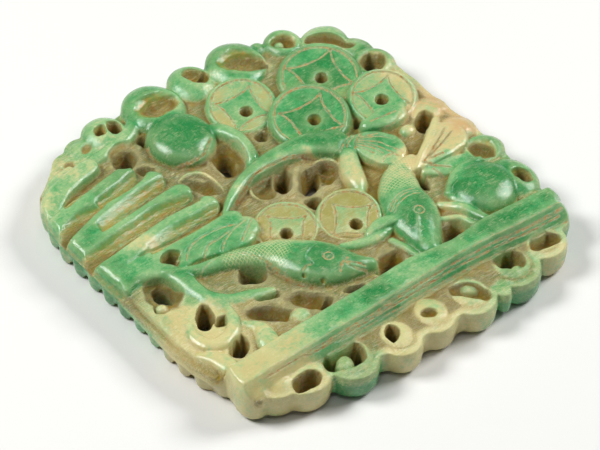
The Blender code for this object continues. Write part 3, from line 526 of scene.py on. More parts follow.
# %% Sink the hollows and leave their knobs
HOLLOWS = [  # centre, radii, floor, rim height, turn
    # between the wave crests and the upper bead
    ((-16.6, 25.1), (2.5, 1.8), 2.0, 5.6, 27),
    ((-15.3, 21.0), (2.0, 1.3), 3.4, 5.5, -60),
    ((-11.8, 26.8), (1.5, 1.1), 3.2, 5.8, 67),
    ((-3.6, 14.8), (4.5, 3.4), 4.1, 5.9, 68),
    ((-3.6, 14.8), (2.6, 1.9), 2.0, 4.6, 68),
    ((-10.2, 12.6), (3.7, 1.5), 3.6, 5.6, -58),
    # round the coins and the right side
    ((4.5, 16.0), (1.3, 1.0), 3.4, 5.4, -20),
    ((18.5, 9.3), (1.2, 0.9), 3.4, 5.8, 57),
    ((27.1, 2.6), (2.2, 1.6), 2.6, 5.8, 32),
    # under the arched handle
    ((-2.2, 6.5), (2.8, 2.1), 3.4, 5.5, 58),
    ((1.1, 6.2), (3.1, 1.8), 1.8, 5.5, 56),
    ((4.7, 3.5), (3.7, 2.1), 1.6, 5.5, 41),
    ((7.8, 3.6), (2.6, 2.3), 3.0, 5.5, 66),
    ((6.7, 1.3), (1.2, 0.8), 3.4, 5.5, -13),
    ((1.8, -1.3), (1.7, 1.2), 2.2, 5.5, -75),
    # left of the fishes
    ((-24.2, 2.0), (1.9, 1.1), 3.6, 6.2, 12),
    ((-29.8, -3.4), (3.6, 2.7), 4.4, 6.3, -70),
    ((-28.8, -2.5), (2.4, 1.8), 2.0, 4.8, -69),
    ((-31.1, -5.3), (1.9, 1.6), 4.0, 6.2, 20),
    ((-27.0, -11.2), (3.0, 1.4), 2.0, 6.0, 58),
    ((-25.4, -13.4), (1.6, 1.2), 3.8, 6.0, 38),
    ((-26.3, -19.2), (2.5, 1.7), 2.0, 6.2, 52),
    # below the left fish
    ((-15.4, -7.9), (2.6, 2.1), 2.0, 5.7, -28),
    ((-16.3, -12.8), (2.5, 1.3), 3.4, 5.6, -33),
    ((-18.0, -16.5), (3.9, 1.8), 2.6, 5.7, -39),
    ((-11.3, -17.5), (3.2, 2.0), 2.8, 5.6, -43),
    ((-9.7, -19.5), (1.7, 0.9), 2.0, 5.2, 15),
    ((-4.1, -20.0), (1.8, 0.9), 3.0, 5.2, -13),
    # round the right fish
    ((3.5, -18.6), (3.5, 2.0), 2.6, 5.7, 17),
    ((16.1, -19.6), (3.3, 2.0), 2.8, 5.7, 8),
    ((18.8, -8.4), (1.9, 0.9), 2.8, 5.8, 82),
    ((30.6, -8.4), (2.6, 1.9), 4.2, 6.4, -60),
    ((32.0, -17.2), (1.8, 1.4), 4.6, 6.6, -60),
    ((32.3, -16.6), (0.5, 0.5), 3.2, 4.8, 0),
]
for row in HOLLOWS:
    scoop(*row)
KNOBS = [  # centre, radii, top, drop at the edge
    ((23.9, 2.6), (1.5, 1.3), 6.5, 1.2),
    ((-31.1, -5.3), (1.1, 1.1), 6.0, 1.2),
    ((-14.4, -19.4), (1.9, 1.8), 6.0, 1.5),
]
for centre, radii, top, drop in KNOBS:
    front.dome(centre, radii, top, drop)
RIDGES = [  # thin ridges left standing between the hollows
    [
        (5.2, 7.2, 0.5, 5.5), (3.1, 5.4, 0.6, 5.6), (1.6, 3.4, 0.6, 5.6),
        (-0.6, 2.6, 0.6, 5.6), (-2.6, 2.6, 0.4, 5.5),
    ],
    [(6.0, 6.0, 0.2, 5.5), (9.0, 5.6, 0.3, 5.9), (10.3, 3.6, 0.3, 5.9), (9.6, 1.6, 0.3, 5.8)],
    [(-1.0, 8.9, 0.2, 5.7), (-3.8, 8.2, 0.3, 5.8), (-4.9, 6.2, 0.3, 5.8), (-4.6, 4.2, 0.2, 5.7)],
    [
        (-12.6, 15.7, 0.3, 5.8), (-10.7, 16.0, 0.4, 6.0), (-8.8, 15.0, 0.4, 6.0),
        (-8.0, 12.6, 0.4, 5.9), (-7.9, 9.8, 0.3, 5.6),
    ],
    [(-5.6, 16.9, 0.3, 5.0), (-6.0, 14.8, 0.4, 5.1), (-5.8, 12.8, 0.3, 5.0)],
]
unpolished = front.polish.copy()
for ridge in RIDGES:
    front.band(ridge, drop=0.4, blend=0.4)
front.polish = unpolished  # the ridges stay as dull as the ground
print("hollows:", len(HOLLOWS), "knobs:", len(KNOBS), "ridges:", len(RIDGES))

# %% [markdown]
# ## Six old coins
# Each coin is a thin disc that leans a little, with a raised rim, a round middle hole and the
# usual four petals: four arcs between four points of the rim, each bowed towards the middle.
# The petals are left pale and dull between the arcs and the rim. A coin that is carved later
# overlaps the one before it, as the real ones overlap.

# %% Carve a coin
# Points of a petal's arc: distance from the middle of the star, in radii of the coin, and angle
PETAL_ARC = ((0.82, -45), (0.57, -32), (0.46, 0), (0.57, 32), (0.82, 45))


def carve_coin(centre, radius, height, rise, phase, star, hole):
    """A disc whose upper right edge is lifted by rise, with its petals turned by phase. Star and
    hole are how far the middles of the petals and of the hole lie off the middle of the disc."""
    at, share = front.oval(centre, (radius, radius), 0, 1.0 + 1.2 / radius)
    x = X[at] - centre[0]
    y = Y[at] - centre[1]
    raised_rim = 0.15 * fade(share, 0.84, 0.88)
    face = height + rise * (0.6 * x + 0.8 * y) / radius + raised_rim
    edge = 0.5 * np.clip(share - 0.93, 0.0, 0.07) / 0.07  # rounds the rim off
    skirt = SKIRT * radius * np.clip(share - 1.0, 0.0, None)
    front.cover(at, face - edge - skirt, 0.15)
    front.incise(round_line(centre, 0.86 * radius), 0.16, 0.06, 0.9)
    middle = np.add(centre, star)
    for quarter in range(4):
        turn = math.radians(phase + 90 * quarter)
        outward = ((x - star[0]) * math.cos(turn) + (y - star[1]) * math.sin(turn)) / radius
        along = ((y - star[1]) * math.cos(turn) - (x - star[0]) * math.sin(turn)) / radius
        petal = fade(outward - 0.46 - 0.42 * along**2, 0.0, 0.05) * (share < 0.84)
        front.pale[at] = np.maximum(front.pale[at], petal)
        front.z[at] -= 0.08 * petal
        arc = [
            (
                middle[0] + radius * out * math.cos(turn + math.radians(swing)),
                middle[1] + radius * out * math.sin(turn + math.radians(swing)),
            )
            for out, swing in PETAL_ARC
        ]
        front.incise(arc, 0.18, 0.1, 1.0)
    front.bowl(np.add(centre, hole), (1.15, 1.15), height - 2.2, height + 0.1, power=4, waver=0.1)


COINS = [  # centre, radius, height, rise, turn of the petals, middle of the star and of the hole
    ((19.8, 20.9), 7.1, 6.2, 1.0, -8, (0.2, 0.0), (0.1, -0.3)),
    ((5.4, 23.1), 5.9, 6.4, 0.9, -4, (-0.2, -0.7), (-0.1, -1.5)),
    ((25.0, 10.7), 5.8, 6.6, 0.9, -4, (-0.3, -0.2), (-0.5, -0.4)),
    ((12.5, 14.0), 6.7, 7.0, 1.0, -6, (-0.2, -0.9), (0.1, -1.1)),
    ((-5.0, -2.9), 5.5, 5.6, 0.5, 53, (-0.3, -0.6), (-0.6, -1.0)),
    ((4.5, -7.1), 5.4, 6.0, 0.8, 52, (-0.2, -1.0), (-0.2, -2.0)),
]
for coin in COINS:
    carve_coin(*coin)
print("coins:", len(COINS))

# %% [markdown]
# ## Two beads and a ribbon
# The beads are among the highest and smoothest forms, polished like cabochons. A ribbon leaves
# the upper bead and hooks round a deep hollow. Two thin stems lie beside the lower bead.

# %% Raise the beads and the ribbon
front.groove([(-12.0, 22.0, 1.3, 4.8), (-10.6, 18.6, 1.4, 4.8), (-7.0, 16.8, 1.2, 4.8)], 1.0)
front.dome((-6.9, 23.0), (5.8, 6.1), 8.1, 3.6, blend=0.2, power=2.6)
front.dome((25.6, -15.2), (5.8, 5.8), 8.1, 3.4, blend=0.2, power=2.5)
STEMS = [
    [(20.2, -12.8, 0.7, 6.6), (23.0, -11.0, 1.0, 7.3), (26.0, -10.1, 1.1, 7.2), (28.8, -9.9, 0.7, 6.6)],
    [(17.6, -13.8, 0.7, 6.2), (19.4, -16.2, 0.9, 6.8), (20.6, -18.6, 0.9, 6.9), (21.4, -21.4, 0.8, 7.0)],
]
RIBBON = [
    (-3.0, 22.2, 1.1, 6.9), (-0.7, 20.5, 1.3, 7.2), (0.4, 17.7, 1.2, 7.3), (0.4, 14.8, 1.1, 7.2),
    (-0.3, 12.4, 1.1, 7.0), (-1.6, 11.1, 0.9, 6.4),
]
for stem in STEMS:
    front.band(stem, drop=0.8)
front.band(RIBBON, drop=1.0)
cut_lines([
    ([(-2.9, 19.4), (-1.4, 18.4), (-0.4, 16.6), (-0.5, 14.4), (-1.2, 12.4)], 0.2, 0.12, 0.5),
    ([
        (-12.3, 24.7), (-13.0, 22.4), (-12.3, 20.0), (-10.5, 18.3), (-8.0, 17.5), (-5.9, 17.7),
        (-3.4, 19.4),
    ], 0.2, 0.08, 0.9),
])
print("bead tops, mm:", round(float(front.z.max()), 2))

# %% [markdown]
# ## The arched handle, its bound hair and its leaves
# An arched handle grows from a thin tip, is bound with two crossed cords at its thick end,
# and spreads there into a fan of hair. A smooth pale leaf hangs from the binding, and a veined
# one lies over the nearest coin.

# %% Carve the handle and the fan
HANDLE = [
    (-11.8, 4.6, 0.5, 6.4), (-8.2, 7.2, 1.0, 7.0), (-4.2, 9.1, 1.3, 7.3),
    (0.4, 10.0, 1.6, 7.5), (4.6, 10.0, 1.9, 7.6), (8.6, 9.2, 2.3, 7.7), (12.0, 7.2, 2.8, 7.7),
]
CORDS = [
    [(16.2, 6.7), (15.0, 5.6), (13.6, 5.0), (11.4, 3.5)],
    [(15.7, 7.2), (14.5, 6.1), (13.1, 5.5), (11.1, 4.1)],
    [(16.9, 5.9), (15.2, 4.9), (14.2, 3.8)],
    [(16.3, 5.3), (14.6, 4.4), (13.8, 3.4)],
]
front.band(HANDLE, drop=1.3)
FAN = [(14.6, 5.0, 1.5, 7.3), (16.4, 3.2, 3.0, 7.1), (18.0, 1.0, 3.5, 6.7)]
front.band(FAN, drop=0.5, blend=0.8, power=3.0)
front.incise([(-10.2, 5.0), (-3.4, 8.3), (2.0, 8.7), (6.0, 7.8), (8.5, 5.9), (10.0, 3.6)])
front.incise([(-9.0, 5.1), (-3.6, 7.6), (1.6, 7.9), (5.2, 6.9), (7.6, 5.2), (9.2, 3.2)])
for cord in CORDS:
    front.incise(cord, 0.16, 0.14, 0.8)
HAIR = [
    [(14.9, 4.7), (17.8, 2.5), (18.6, 1.2), (19.8, -1.3)],
    [(15.7, 5.0), (17.5, 4.5), (18.9, 4.1)],
    [(15.4, 4.9), (18.4, 3.6), (20.2, 2.2)],
    [(14.8, 4.4), (17.0, 2.0), (18.0, 0.2), (18.6, -1.6)],
    [(14.4, 4.0), (16.3, 1.8), (17.0, 0.2)],
    [(14.2, 3.6), (15.2, 2.0), (15.7, 1.0)],
    [(15.8, -1.2), (17.1, -0.6), (18.2, -0.8)],
    [(19.6, 5.2), (21.0, 3.9), (21.4, 2.2), (21.1, -1.0)],
]
for line in HAIR:
    front.incise(line, 0.16, 0.12, 0.8)
print("hair lines:", len(HAIR))

# %% Carve the two leaves
LEAVES = [
    ([(12.4, 3.4, 1.5, 7.4), (10.7, 0.4, 1.8, 7.5), (9.7, -2.6, 1.6, 7.3), (9.0, -4.4, 0.8, 6.8)], 1.3),
    ([(18.9, 6.8, 1.3, 7.3), (21.6, 6.5, 2.0, 7.5), (24.4, 6.5, 2.1, 7.4), (26.2, 7.2, 0.9, 7.0)], 0.9),
]
lay_strands(LEAVES)
cut_lines([
    ([(19.4, 6.7), (21.5, 6.3), (24.3, 6.1)], 0.16, 0.12, 1.0),
    ([(20.4, 4.7), (22.6, 4.5), (24.8, 5.4)], 0.16, 0.1, 0.6),
])
print("leaves:", len(LEAVES))

# %% [markdown]
# ## Weed stems
# Narrow strands of weed fill the ground between the larger forms, and one curls round a deep
# hollow. They are laid before the fishes, which swim over them.

# %% Lay the weed stems
WEED = [  # points, drop, blend
    ([(-0.4, -11.9, 0.9, 6.2), (3.8, -13.4, 1.1, 6.4), (8.0, -12.9, 1.1, 6.6), (10.2, -11.9, 0.9, 6.8)], 0.9),
    ([
        (-30.2, -11.4, 0.9, 6.6), (-31.0, -13.8, 1.2, 6.8), (-30.2, -16.4, 1.4, 6.9),
        (-28.2, -17.2, 1.4, 6.9), (-25.6, -16.4, 1.3, 6.8), (-23.8, -14.4, 1.1, 6.7),
        (-23.0, -11.9, 0.8, 6.4),
    ], 1.0),
    ([
        (-24.3, -1.7, 1.6, 6.6), (-25.0, -4.8, 1.7, 6.7), (-24.0, -8.0, 1.5, 6.6),
        (-21.6, -10.4, 1.4, 6.4), (-18.2, -11.4, 1.3, 6.2), (-14.8, -12.4, 0.9, 5.8),
    ], 1.2, 0.5),
    ([(-22.7, -15.8, 0.9, 6.0), (-21.4, -18.2, 1.5, 6.4), (-22.0, -21.2, 1.9, 6.5)], 0.9, 0.3),
    ([(-32.6, -17.4, 0.8, 6.4), (-30.8, -19.4, 1.5, 6.7), (-30.2, -21.6, 1.6, 6.8)], 0.8, 0.3),
    ([(6.8, -15.4, 0.7, 5.9), (7.6, -17.8, 0.7, 6.0), (8.0, -20.2, 0.7, 6.0)], 0.6),
    ([(20.2, -13.0, 0.6, 6.3), (20.4, -17.0, 0.6, 6.3), (20.4, -20.4, 0.6, 6.2)], 0.6),
    ([(15.6, -16.4, 0.6, 6.1), (18.4, -17.9, 0.6, 6.1), (19.6, -20.6, 0.6, 6.1)], 0.6),
]
lay_strands(WEED)
print("weed stems:", len(WEED))

# %% [markdown]
# ## The left fish
# It swims to the right. Its body is one band that swells from a thin tail to a broad head. The
# tail curls down round a deep hollow, and a broad folded leaf lies behind its back. The eye is
# a ring with a dot, and the gill, the mouth and the fins are single cuts.

# %% Carve the left fish, its tail and its leaf
TAIL = [
    (-33.4, 0.9, 1.1, 6.3), (-30.2, 1.9, 1.4, 6.8), (-26.9, 1.0, 1.6, 7.0), (-25.2, -1.6, 1.7, 6.9),
    (-24.9, -5.0, 1.6, 6.8), (-24.3, -8.4, 1.4, 6.6), (-22.9, -11.0, 1.0, 6.2),
]
BROAD_LEAF = [
    (-24.0, -0.4, 0.5, 6.2), (-20.2, 0.9, 1.9, 6.8), (-15.6, 0.7, 3.1, 7.0),
    (-12.0, 0.4, 3.2, 7.0), (-10.6, 0.6, 2.4, 6.9),
]
LEFT_FISH = [
    (-26.8, 0.0, 0.9, 6.9), (-22.0, -2.4, 1.4, 7.0), (-17.6, -3.4, 1.6, 7.1), (-13.6, -4.8, 2.1, 7.3),
    (-10.2, -6.9, 3.2, 7.6), (-8.2, -9.4, 4.0, 7.8), (-6.1, -12.1, 4.4, 7.95), (-3.9, -14.5, 4.0, 7.9),
    (-1.4, -16.4, 2.6, 7.5), (0.7, -17.5, 1.4, 7.0),
]
front.band(TAIL, drop=1.2)
front.band(BROAD_LEAF, drop=0.9, power=3.0)
front.band(LEFT_FISH, drop=2.2)
front.scale(LEFT_FISH, 9.0, 21.0)
LEAF_FOLDS = [
    [(-22.3, 0.2), (-20.5, 1.8), (-17.9, 2.4), (-14.5, 2.3), (-11.9, 1.6)],
    [(-19.8, -1.1), (-17.8, 0.4), (-15.9, 0.5), (-13.5, 0.9)],
    [(-16.7, -1.7), (-15.1, -0.4), (-12.6, 0.8), (-9.8, 1.5)],
    [(-13.0, -2.0), (-11.0, -0.5), (-8.9, 1.0)],
]
for fold in LEAF_FOLDS:
    front.incise(fold, 0.25, 0.22, 0.55)
print("left fish spans, mm:", round(math.dist(LEFT_FISH[0][:2], LEFT_FISH[-1][:2]), 1))

# %% Cut the face of the left fish
def carve_eye(centre, radius):
    """A ring with a dot cut in its middle."""
    front.incise(round_line(centre, radius, 12), 0.2, 0.2, 0.6)
    front.incise([(centre[0] - 0.05, centre[1]), (centre[0] + 0.05, centre[1])], 0.25, 0.14, 0.6)


LEFT_FACE = [  # points, width, depth, stain
    # gill and the fin behind it
    ([(-4.3, -9.9), (-6.1, -10.8), (-7.3, -11.5), (-7.7, -12.4), (-7.7, -13.3)], 0.22, 0.2, 0.2),
    ([(-7.7, -13.3), (-8.6, -13.0), (-9.3, -13.2)], 0.2, 0.14, 0.9),
    # mouth and cheek
    ([(-2.9, -16.3), (-1.6, -17.1), (-0.7, -18.0)], 0.18, 0.2, 1.0),
    ([(-3.1, -16.6), (-2.1, -17.9), (-0.8, -18.6)], 0.16, 0.18, 1.0),
    ([(-2.4, -15.7), (-3.9, -16.2), (-4.8, -16.9)], 0.3, 0.08, 0.8),
    ([(-0.6, -14.8), (0.3, -15.6), (0.8, -16.6)], 0.16, 0.1, 0.5),
    # belly
    ([(-12.7, -8.1), (-12.0, -10.7), (-11.1, -13.4), (-9.3, -16.2), (-7.2, -17.8)], 0.2, 0.12, 1.0),
    ([
        (-22.5, -3.6), (-19.4, -2.9), (-17.4, -3.2), (-14.3, -4.9), (-12.4, -8.2),
        (-11.4, -11.7), (-10.2, -14.7), (-6.6, -18.0), (-3.0, -19.2), (-0.6, -18.9),
    ], 0.26, 0.05, 0.5),
]
carve_eye((-4.6, -13.6), 0.8)
cut_lines(LEFT_FACE)
front.bowl((-9.6, -13.9), (0.45, 0.3), 6.0, 6.8, -50)
front.bowl((-7.9, -16.1), (0.6, 0.35), 5.8, 6.9, -40)
print("lines on the left face:", len(LEFT_FACE))

# %% [markdown]
# ## The right fish
# It dives towards the rim. Its tail stands up as a fan with five cut rays, pale where the
# body and head are green, and a slim fin reaches over to the left fish. A negative depth
# raises a line instead of cutting it, which makes the ridge of the nose.

# %% Carve the right fish and its tail
TAIL_RAYS = [
    [(21.0, -5.6), (24.8, -3.6), (28.3, -1.5)],
    [(22.4, -5.2), (25.8, -4.0), (28.8, -2.7)],
    [(22.2, -5.6), (24.5, -5.9)],
    [(20.8, -5.6), (22.8, -7.7), (23.8, -8.6)],
    [(21.4, -7.4), (21.8, -9.2)],
]
lay_strands([
    ([(20.4, -6.6, 1.0, 6.5), (23.5, -7.9, 1.8, 6.6), (26.8, -8.2, 1.5, 6.4)], 0.7),
    ([
        (19.0, -4.9, 1.3, 7.0), (22.0, -4.9, 1.8, 7.1), (24.8, -4.2, 2.7, 7.2), (27.4, -3.0, 3.6, 7.0),
    ], 0.7, 0.2, 3.0),
    ([(19.2, -5.8, 0.5, 7.1), (21.6, -3.9, 0.6, 7.3), (25.0, -1.7, 0.7, 7.3), (28.6, 1.2, 0.7, 6.9)], 0.5),
])
RIGHT_FISH = [
    (20.0, -3.4, 1.6, 6.9), (16.9, -4.6, 2.7, 7.3), (15.2, -6.4, 3.3, 7.6), (13.8, -8.8, 3.8, 7.8),
    (13.0, -12.0, 4.3, 7.95), (12.1, -14.8, 4.1, 7.9), (11.2, -17.8, 3.1, 7.6), (10.4, -20.6, 2.1, 7.2),
]
front.band(RIGHT_FISH, drop=2.2)
front.scale(RIGHT_FISH, 0.5, 9.0)
for ray in TAIL_RAYS:
    front.incise(ray, 0.26, 0.12, 1.0)
carve_eye((13.1, -14.2), 0.85)
NOSE = [(12.0, -15.2), (11.0, -16.6), (10.2, -18.0), (9.0, -20.0)]
front.incise(NOSE, 0.28, depth=-0.22, stain=0.15)
for back_by in (0.0, 0.7, 1.3):
    front.incise([
        (16.1 - 0.3 * back_by, -11.0 + back_by), (13.4 - 0.3 * back_by, -10.7 + back_by),
        (11.2, -11.2 + back_by), (9.7, -12.0 + back_by),
    ], 0.18, 0.12, 0.6)
FIN = [
    (4.4, -12.4, 0.7, 6.7), (6.6, -12.1, 1.1, 7.2), (8.6, -12.6, 1.0, 7.4), (10.0, -13.8, 0.6, 7.5),
    (10.1, -15.4, 0.5, 7.4),
]
front.band(FIN, drop=0.6, blend=0.2)
print("tail rays:", len(TAIL_RAYS))

# %% [markdown]
# ## Foam scrolls of the foot
# Below the rim hangs a row of foam lobes, and the larger ones are hollowed: some narrow, some
# round, and three with a knob left in them. They are lower than the rim and rounder at the edge.

# %% Raise the foam lobes and cut their hollows
FOOT_TOPS = (6.0, 5.8, 5.8, 5.0, 5.9, 5.9, 5.8, 6.0, 6.0, 6.2, 6.8)
for (centre, radii), top in zip(FOOT_LOBES, FOOT_TOPS):
    front.dome(centre, [radius + 0.3 for radius in radii], top + 0.2, drop=3.2, blend=0.5)
CUPS = [  # centre, radii, floor, rim height, turn
    ((-22.1, -31.2), (2.6, 1.7), 2.0, 5.5, -4),
    ((-14.4, -30.5), (3.9, 3.0), 2.2, 5.6, -9),
    ((-5.3, -31.3), (2.0, 1.1), 2.0, 5.4, 52),
    ((1.7, -31.3), (1.4, 1.0), 4.7, 5.9, -32),
    ((9.9, -31.6), (3.6, 1.9), 3.6, 5.7, -52),
    ((19.0, -29.9), (2.9, 2.5), 2.6, 5.8, -49),
    ((26.2, -30.0), (3.0, 1.8), 3.2, 5.8, -7),
]
for centre, radii, floor, rim, turn in CUPS:
    front.bowl(centre, radii, floor, rim, turn)
front.dome((-15.0, -31.6), (2.2, 1.5), 5.6, 1.6, turn=60)
front.dome((10.6, -30.2), (1.8, 1.1), 5.0, 1.0, turn=-52)
front.dome((19.4, -31.2), (1.2, 0.9), 4.6, 1.0)
for reach in (0.0, 1.0, 2.0):
    left = [(-8.6 + reach, -29.4), (-7.4 + reach, -31.6), (-7.6 + 0.6 * reach, -34.6)]
    right = [(5.2 - 0.7 * reach, -28.4), (6.4 - 0.4 * reach, -30.6), (5.6 - 0.6 * reach, -33.2)]
    cut_lines([(left, 0.2, 0.14, 0.3), (right, 0.2, 0.12, 0.4)])
print("foam lobes:", len(FOOT_LOBES))

# %% [markdown]
# ## The straight rim
# The basin rim is the one straight thing on the plaque. Its top is flat and polished, a fine
# pale crest line runs along it, and a slope with long cut lines falls towards the foot.

# %% Lay the rim and cut its long lines
inner_edge = np.interp(
    X, (-31.3, -20.0, -5.0, 5.0, 13.0, 20.0, 33.0), (-23.5, -22.9, -22.4, -21.8, -22.8, -22.0, -22.9)
)
CREST_X = (-30.0, -19.0, -5.0, 8.0, 15.0, 25.0, 32.0)
CREST_Y = (-27.6, -27.2, -26.7, -25.9, -25.7, -26.5, -26.5)
SLOPE_WIDTH = 2.2  # from the crest line to the foot
crest_line = np.interp(X, CREST_X, CREST_Y)
left_end = -31.8 + 0.62 * (Y + 23.5)  # the rim is cut off at a slant there
rim_top = THICKNESS - 1.3 * np.clip(crest_line - Y, 0.0, None)
past_rim = np.maximum.reduce([Y - inner_edge, left_end - X, crest_line - SLOPE_WIDTH - Y])
front.cover(..., rim_top - SKIRT * np.clip(past_rim, 0.0, None), 0.3)


def cut_along_rim(fall, start, end, width, depth, stain, spread=0.0):
    """A long cut that keeps a distance below the crest, and spreads towards its right end."""
    front.incise([
        (x, np.interp(x, CREST_X, CREST_Y) - fall - spread * (x - start) / (end - start))
        for x in np.linspace(start, end, 9)
    ], width, depth, stain)


RIM_LINES = [  # fall below the crest, start, end, width, depth, stain, spread
    (0.0, -27.0, 32.0, 0.13, 0.04, 0.6),
    (0.4, -4.0, 32.0, 0.10, 0.06, 0.7, 0.6),
    (0.6, -28.0, 32.0, 0.12, 0.06, 0.9, 0.1),
    (0.9, -20.0, 31.0, 0.12, 0.06, 1.0, 0.4),
    (1.3, -14.0, 32.0, 0.10, 0.06, 0.7, 0.9),
    (1.8, -24.0, 12.0, 0.10, 0.06, 0.6, 0.2),
]
for line in RIM_LINES:
    cut_along_rim(*line)
print("rim top, mm:", round(float(front.z.max()), 2))

# %% [markdown]
# ## Wear and tool marks
# Hand-carved stone is never smooth in its low places. The drill and the scraper leave fine
# pits and ripples there, while the high places are polished. Fine noise goes only where the
# face is low or sunk and wasn't polished, and a slow unevenness of 0.1 mm goes everywhere.

# %% A blur, and the rough low ground
def blurred(heights, reach):
    """Heights averaged over about reach in each direction, by three running means."""
    count = max(1, round(reach / STEP))
    for axis in (0, 1):
        for _ in range(3):
            pad = [(0, 0), (0, 0)]
            pad[axis] = (count + 1, count)
            total = np.cumsum(np.pad(heights, pad, mode="edge"), axis=axis)
            width = 2 * count + 1
            if axis == 0:
                heights = (total[width:] - total[:-width]) / width
            else:
                heights = (total[:, width:] - total[:, :-width]) / width
    return heights


sunk = fade(blurred(front.z, 1.0) - front.z, 0.1, 1.2)
low = fade(6.4 - front.z, 0.0, 1.2)
on_edge = fade(1.9 - edge_depth, 0.0, 0.9) * (1.0 - front.dug) * (X > -30.0)
front.polish = np.maximum(front.polish, on_edge)  # the edge is worn smooth by hands
rough = np.maximum(sunk, low) * (1.0 - 0.8 * front.polish)
ripple = 0.5 * soft_noise(X, Y, 0.9, 1) + 0.5 * soft_noise(X, Y, 0.5, 2)
waver = 0.5 * soft_noise(X, Y, 3.0, 3) + 0.5 * soft_noise(X, Y, 1.6, 4)
front.z += 0.10 * rough * ripple + 0.09 * waver
print("share of rough ground:", round(float(rough[edge_depth > 0].mean()), 2))

# %% [markdown]
# ## Rolling the edge
# The front turns down into the side wall with a quarter round, so the lobes look soft. How
# high the wall stands and how wide the roll is change from part to part: the wall is lower
# along the foot, and a narrow stained ledge runs down the left side.

# %% Roll the front edge
def rolled_edge(depth, wall, top, roll=ROLL):
    """Quarter round that rises from the wall to the top over the width of the roll."""
    share = np.clip(depth / roll, 0.0, 1.0)
    return wall + (top - wall) * np.sqrt(np.clip(1.0 - (1.0 - share) ** 2, 0.0, 1.0))


# Each of these is 1 along its own part of the edge, and fades to 0 beyond it
on_left = fade(-X, 29.0, 32.0) * fade(Y, -23.0, -21.5) * fade(-Y, -26.0, -22.0)
on_foot = fade(-Y, 24.0, 28.0)
on_head = fade(0.35 * X + Y, 20.0, 24.0)
on_rim_end = fade(-X, 28.0, 30.5) * fade(-Y, 22.0, 23.5)
on_crests = fade(-X, 26.0, 29.0) * fade(Y, 0.0, 3.0) * fade(-Y, -26.0, -22.0)
ZONES = [  # part of the edge, how much higher the wall's top is there, how much wider the roll
    (on_left, 0.7, -1.2), (on_crests, -0.2, 1.8), (on_head, 0.5, -0.5),
    (on_foot, -0.9, 0.3), (on_rim_end, 2.4, -1.5),
]
wall_top = np.full(X.shape, WALL_TOP)
roll = np.full(X.shape, ROLL)
for zone, higher, wider in ZONES:
    wall_top += higher * zone
    roll += wider * zone
ledge_width = on_left * (0.3 + 0.9 * fade(-Y, -15.0, 5.0))  # wider towards the corner
rolled = rolled_edge(edge_depth - ledge_width, wall_top, 8.7 - 1.2 * on_crests, roll)
front.cut = np.maximum(front.cut, 0.36 * on_left * fade(ledge_width + 0.3 - edge_depth, 0.0, 0.2))
front.z = np.minimum(smooth_min(front.z, rolled, 0.3), THICKNESS)
print("front runs from", round(float(front.z[edge_depth > 0].min()), 2), "to", THICKNESS, "mm")

# %% [markdown]
# ## The plainer back
# The back has flat polished lands with shallow sunk fields between them, three coins drawn
# with a ring, a notch between each two lobes and a row of short grooves up the left side. It
# is carved downwards like the front, then turned over.

# %% Drilled openings and the back
OPENINGS = [  # centre, radii, turn
    ((-16.4, 25.3), (1.5, 1.0), 27),
    ((-3.6, 15.2), (1.2, 0.9), 63),
    ((0.8, 4.8), (1.2, 0.8), 70),
    ((4.6, 3.5), (2.2, 0.8), 34),
    ((2.0, -1.0), (0.9, 0.7), -70),
    ((27.1, 2.8), (1.3, 0.9), 32),
    ((29.0, 19.2), (0.8, 0.8), 0),
    ((-14.1, 31.4), (1.0, 0.7), 63),
    ((-28.8, -2.3), (1.6, 1.2), -69),
    ((-27.0, -11.2), (2.2, 0.9), 58),
    ((-26.3, -19.2), (1.5, 1.0), 52),
    ((-15.4, -7.9), (1.5, 1.2), -28),
    ((-18.0, -16.3), (1.7, 0.8), -39),
    ((-9.7, -19.3), (1.1, 0.7), 15),
    ((3.5, -18.4), (1.4, 0.9), 17),
    ((16.1, -19.3), (1.5, 0.9), 8),
    ((-22.1, -31.0), (1.5, 0.9), -4),
    ((-17.0, -30.2), (0.8, 1.2), 0),
    ((-12.2, -31.2), (1.6, 0.7), 50),
    ((-5.3, -31.2), (1.3, 0.7), 52),
    ((19.2, -29.2), (1.1, 1.0), 0),
]
back = Carving(0.0)
FIELDS = [  # centre, radii
    ((-23.0, -11.5), (8.0, 7.5)), ((-9.0, -14.5), (5.5, 5.0)), ((3.5, 2.5), (7.5, 6.0)),
    ((-10.0, 12.5), (7.5, 5.5)), ((11.0, -15.5), (8.5, 4.0)), ((24.5, 2.5), (5.5, 5.0)),
]
for centre, radii in FIELDS:
    back.bowl(centre, radii, -0.8, 0.0, power=7)
BACK_COINS = [((19.8, 20.4), 6.4), ((4.6, 22.6), 5.6), ((-9.0, 25.2), 5.2)]
for centre, radius in BACK_COINS:
    back.groove([
        (centre[0] + radius * math.cos(a), centre[1] + radius * math.sin(a), 0.5, -0.6)
        for a in np.arange(13) * math.pi / 6
    ], 0.6)
    back.bowl(centre, (1.1, 1.1), -0.9, 0.0)
for centre, radii, turn in OPENINGS:
    back.bowl(centre, [radius + 1.3 for radius in radii], -1.2, 0.0, turn)
lobes = HEAD_LOBES + SIDE_LOBES + FOOT_LOBES
for (a, a_radii), (b, b_radii) in zip(lobes, lobes[1:]):
    notch = np.average((a, b), axis=0, weights=(b_radii[0], a_radii[0]))
    back.groove([(*(notch * 1.06), 1.0, -1.1), (*(notch * 0.86), 0.7, -0.4)], 1.1)
for y in 18.6 - SCALLOP * np.arange(10):
    back.groove([(-35.0, y, 0.9, -1.1), (-25.0, y + 1.2, 0.8, -0.7)], 1.1)
back.groove([(-29.0, -22.4, 0.9, -0.9), (31.5, -21.6, 0.9, -0.9)], 0.9)
back.z = -np.minimum(smooth_min(back.z, rolled_edge(edge_depth, -WALL_FOOT, 0.5), 0.4), 0.0)
back.z = np.minimum(back.z, front.z - WEB)
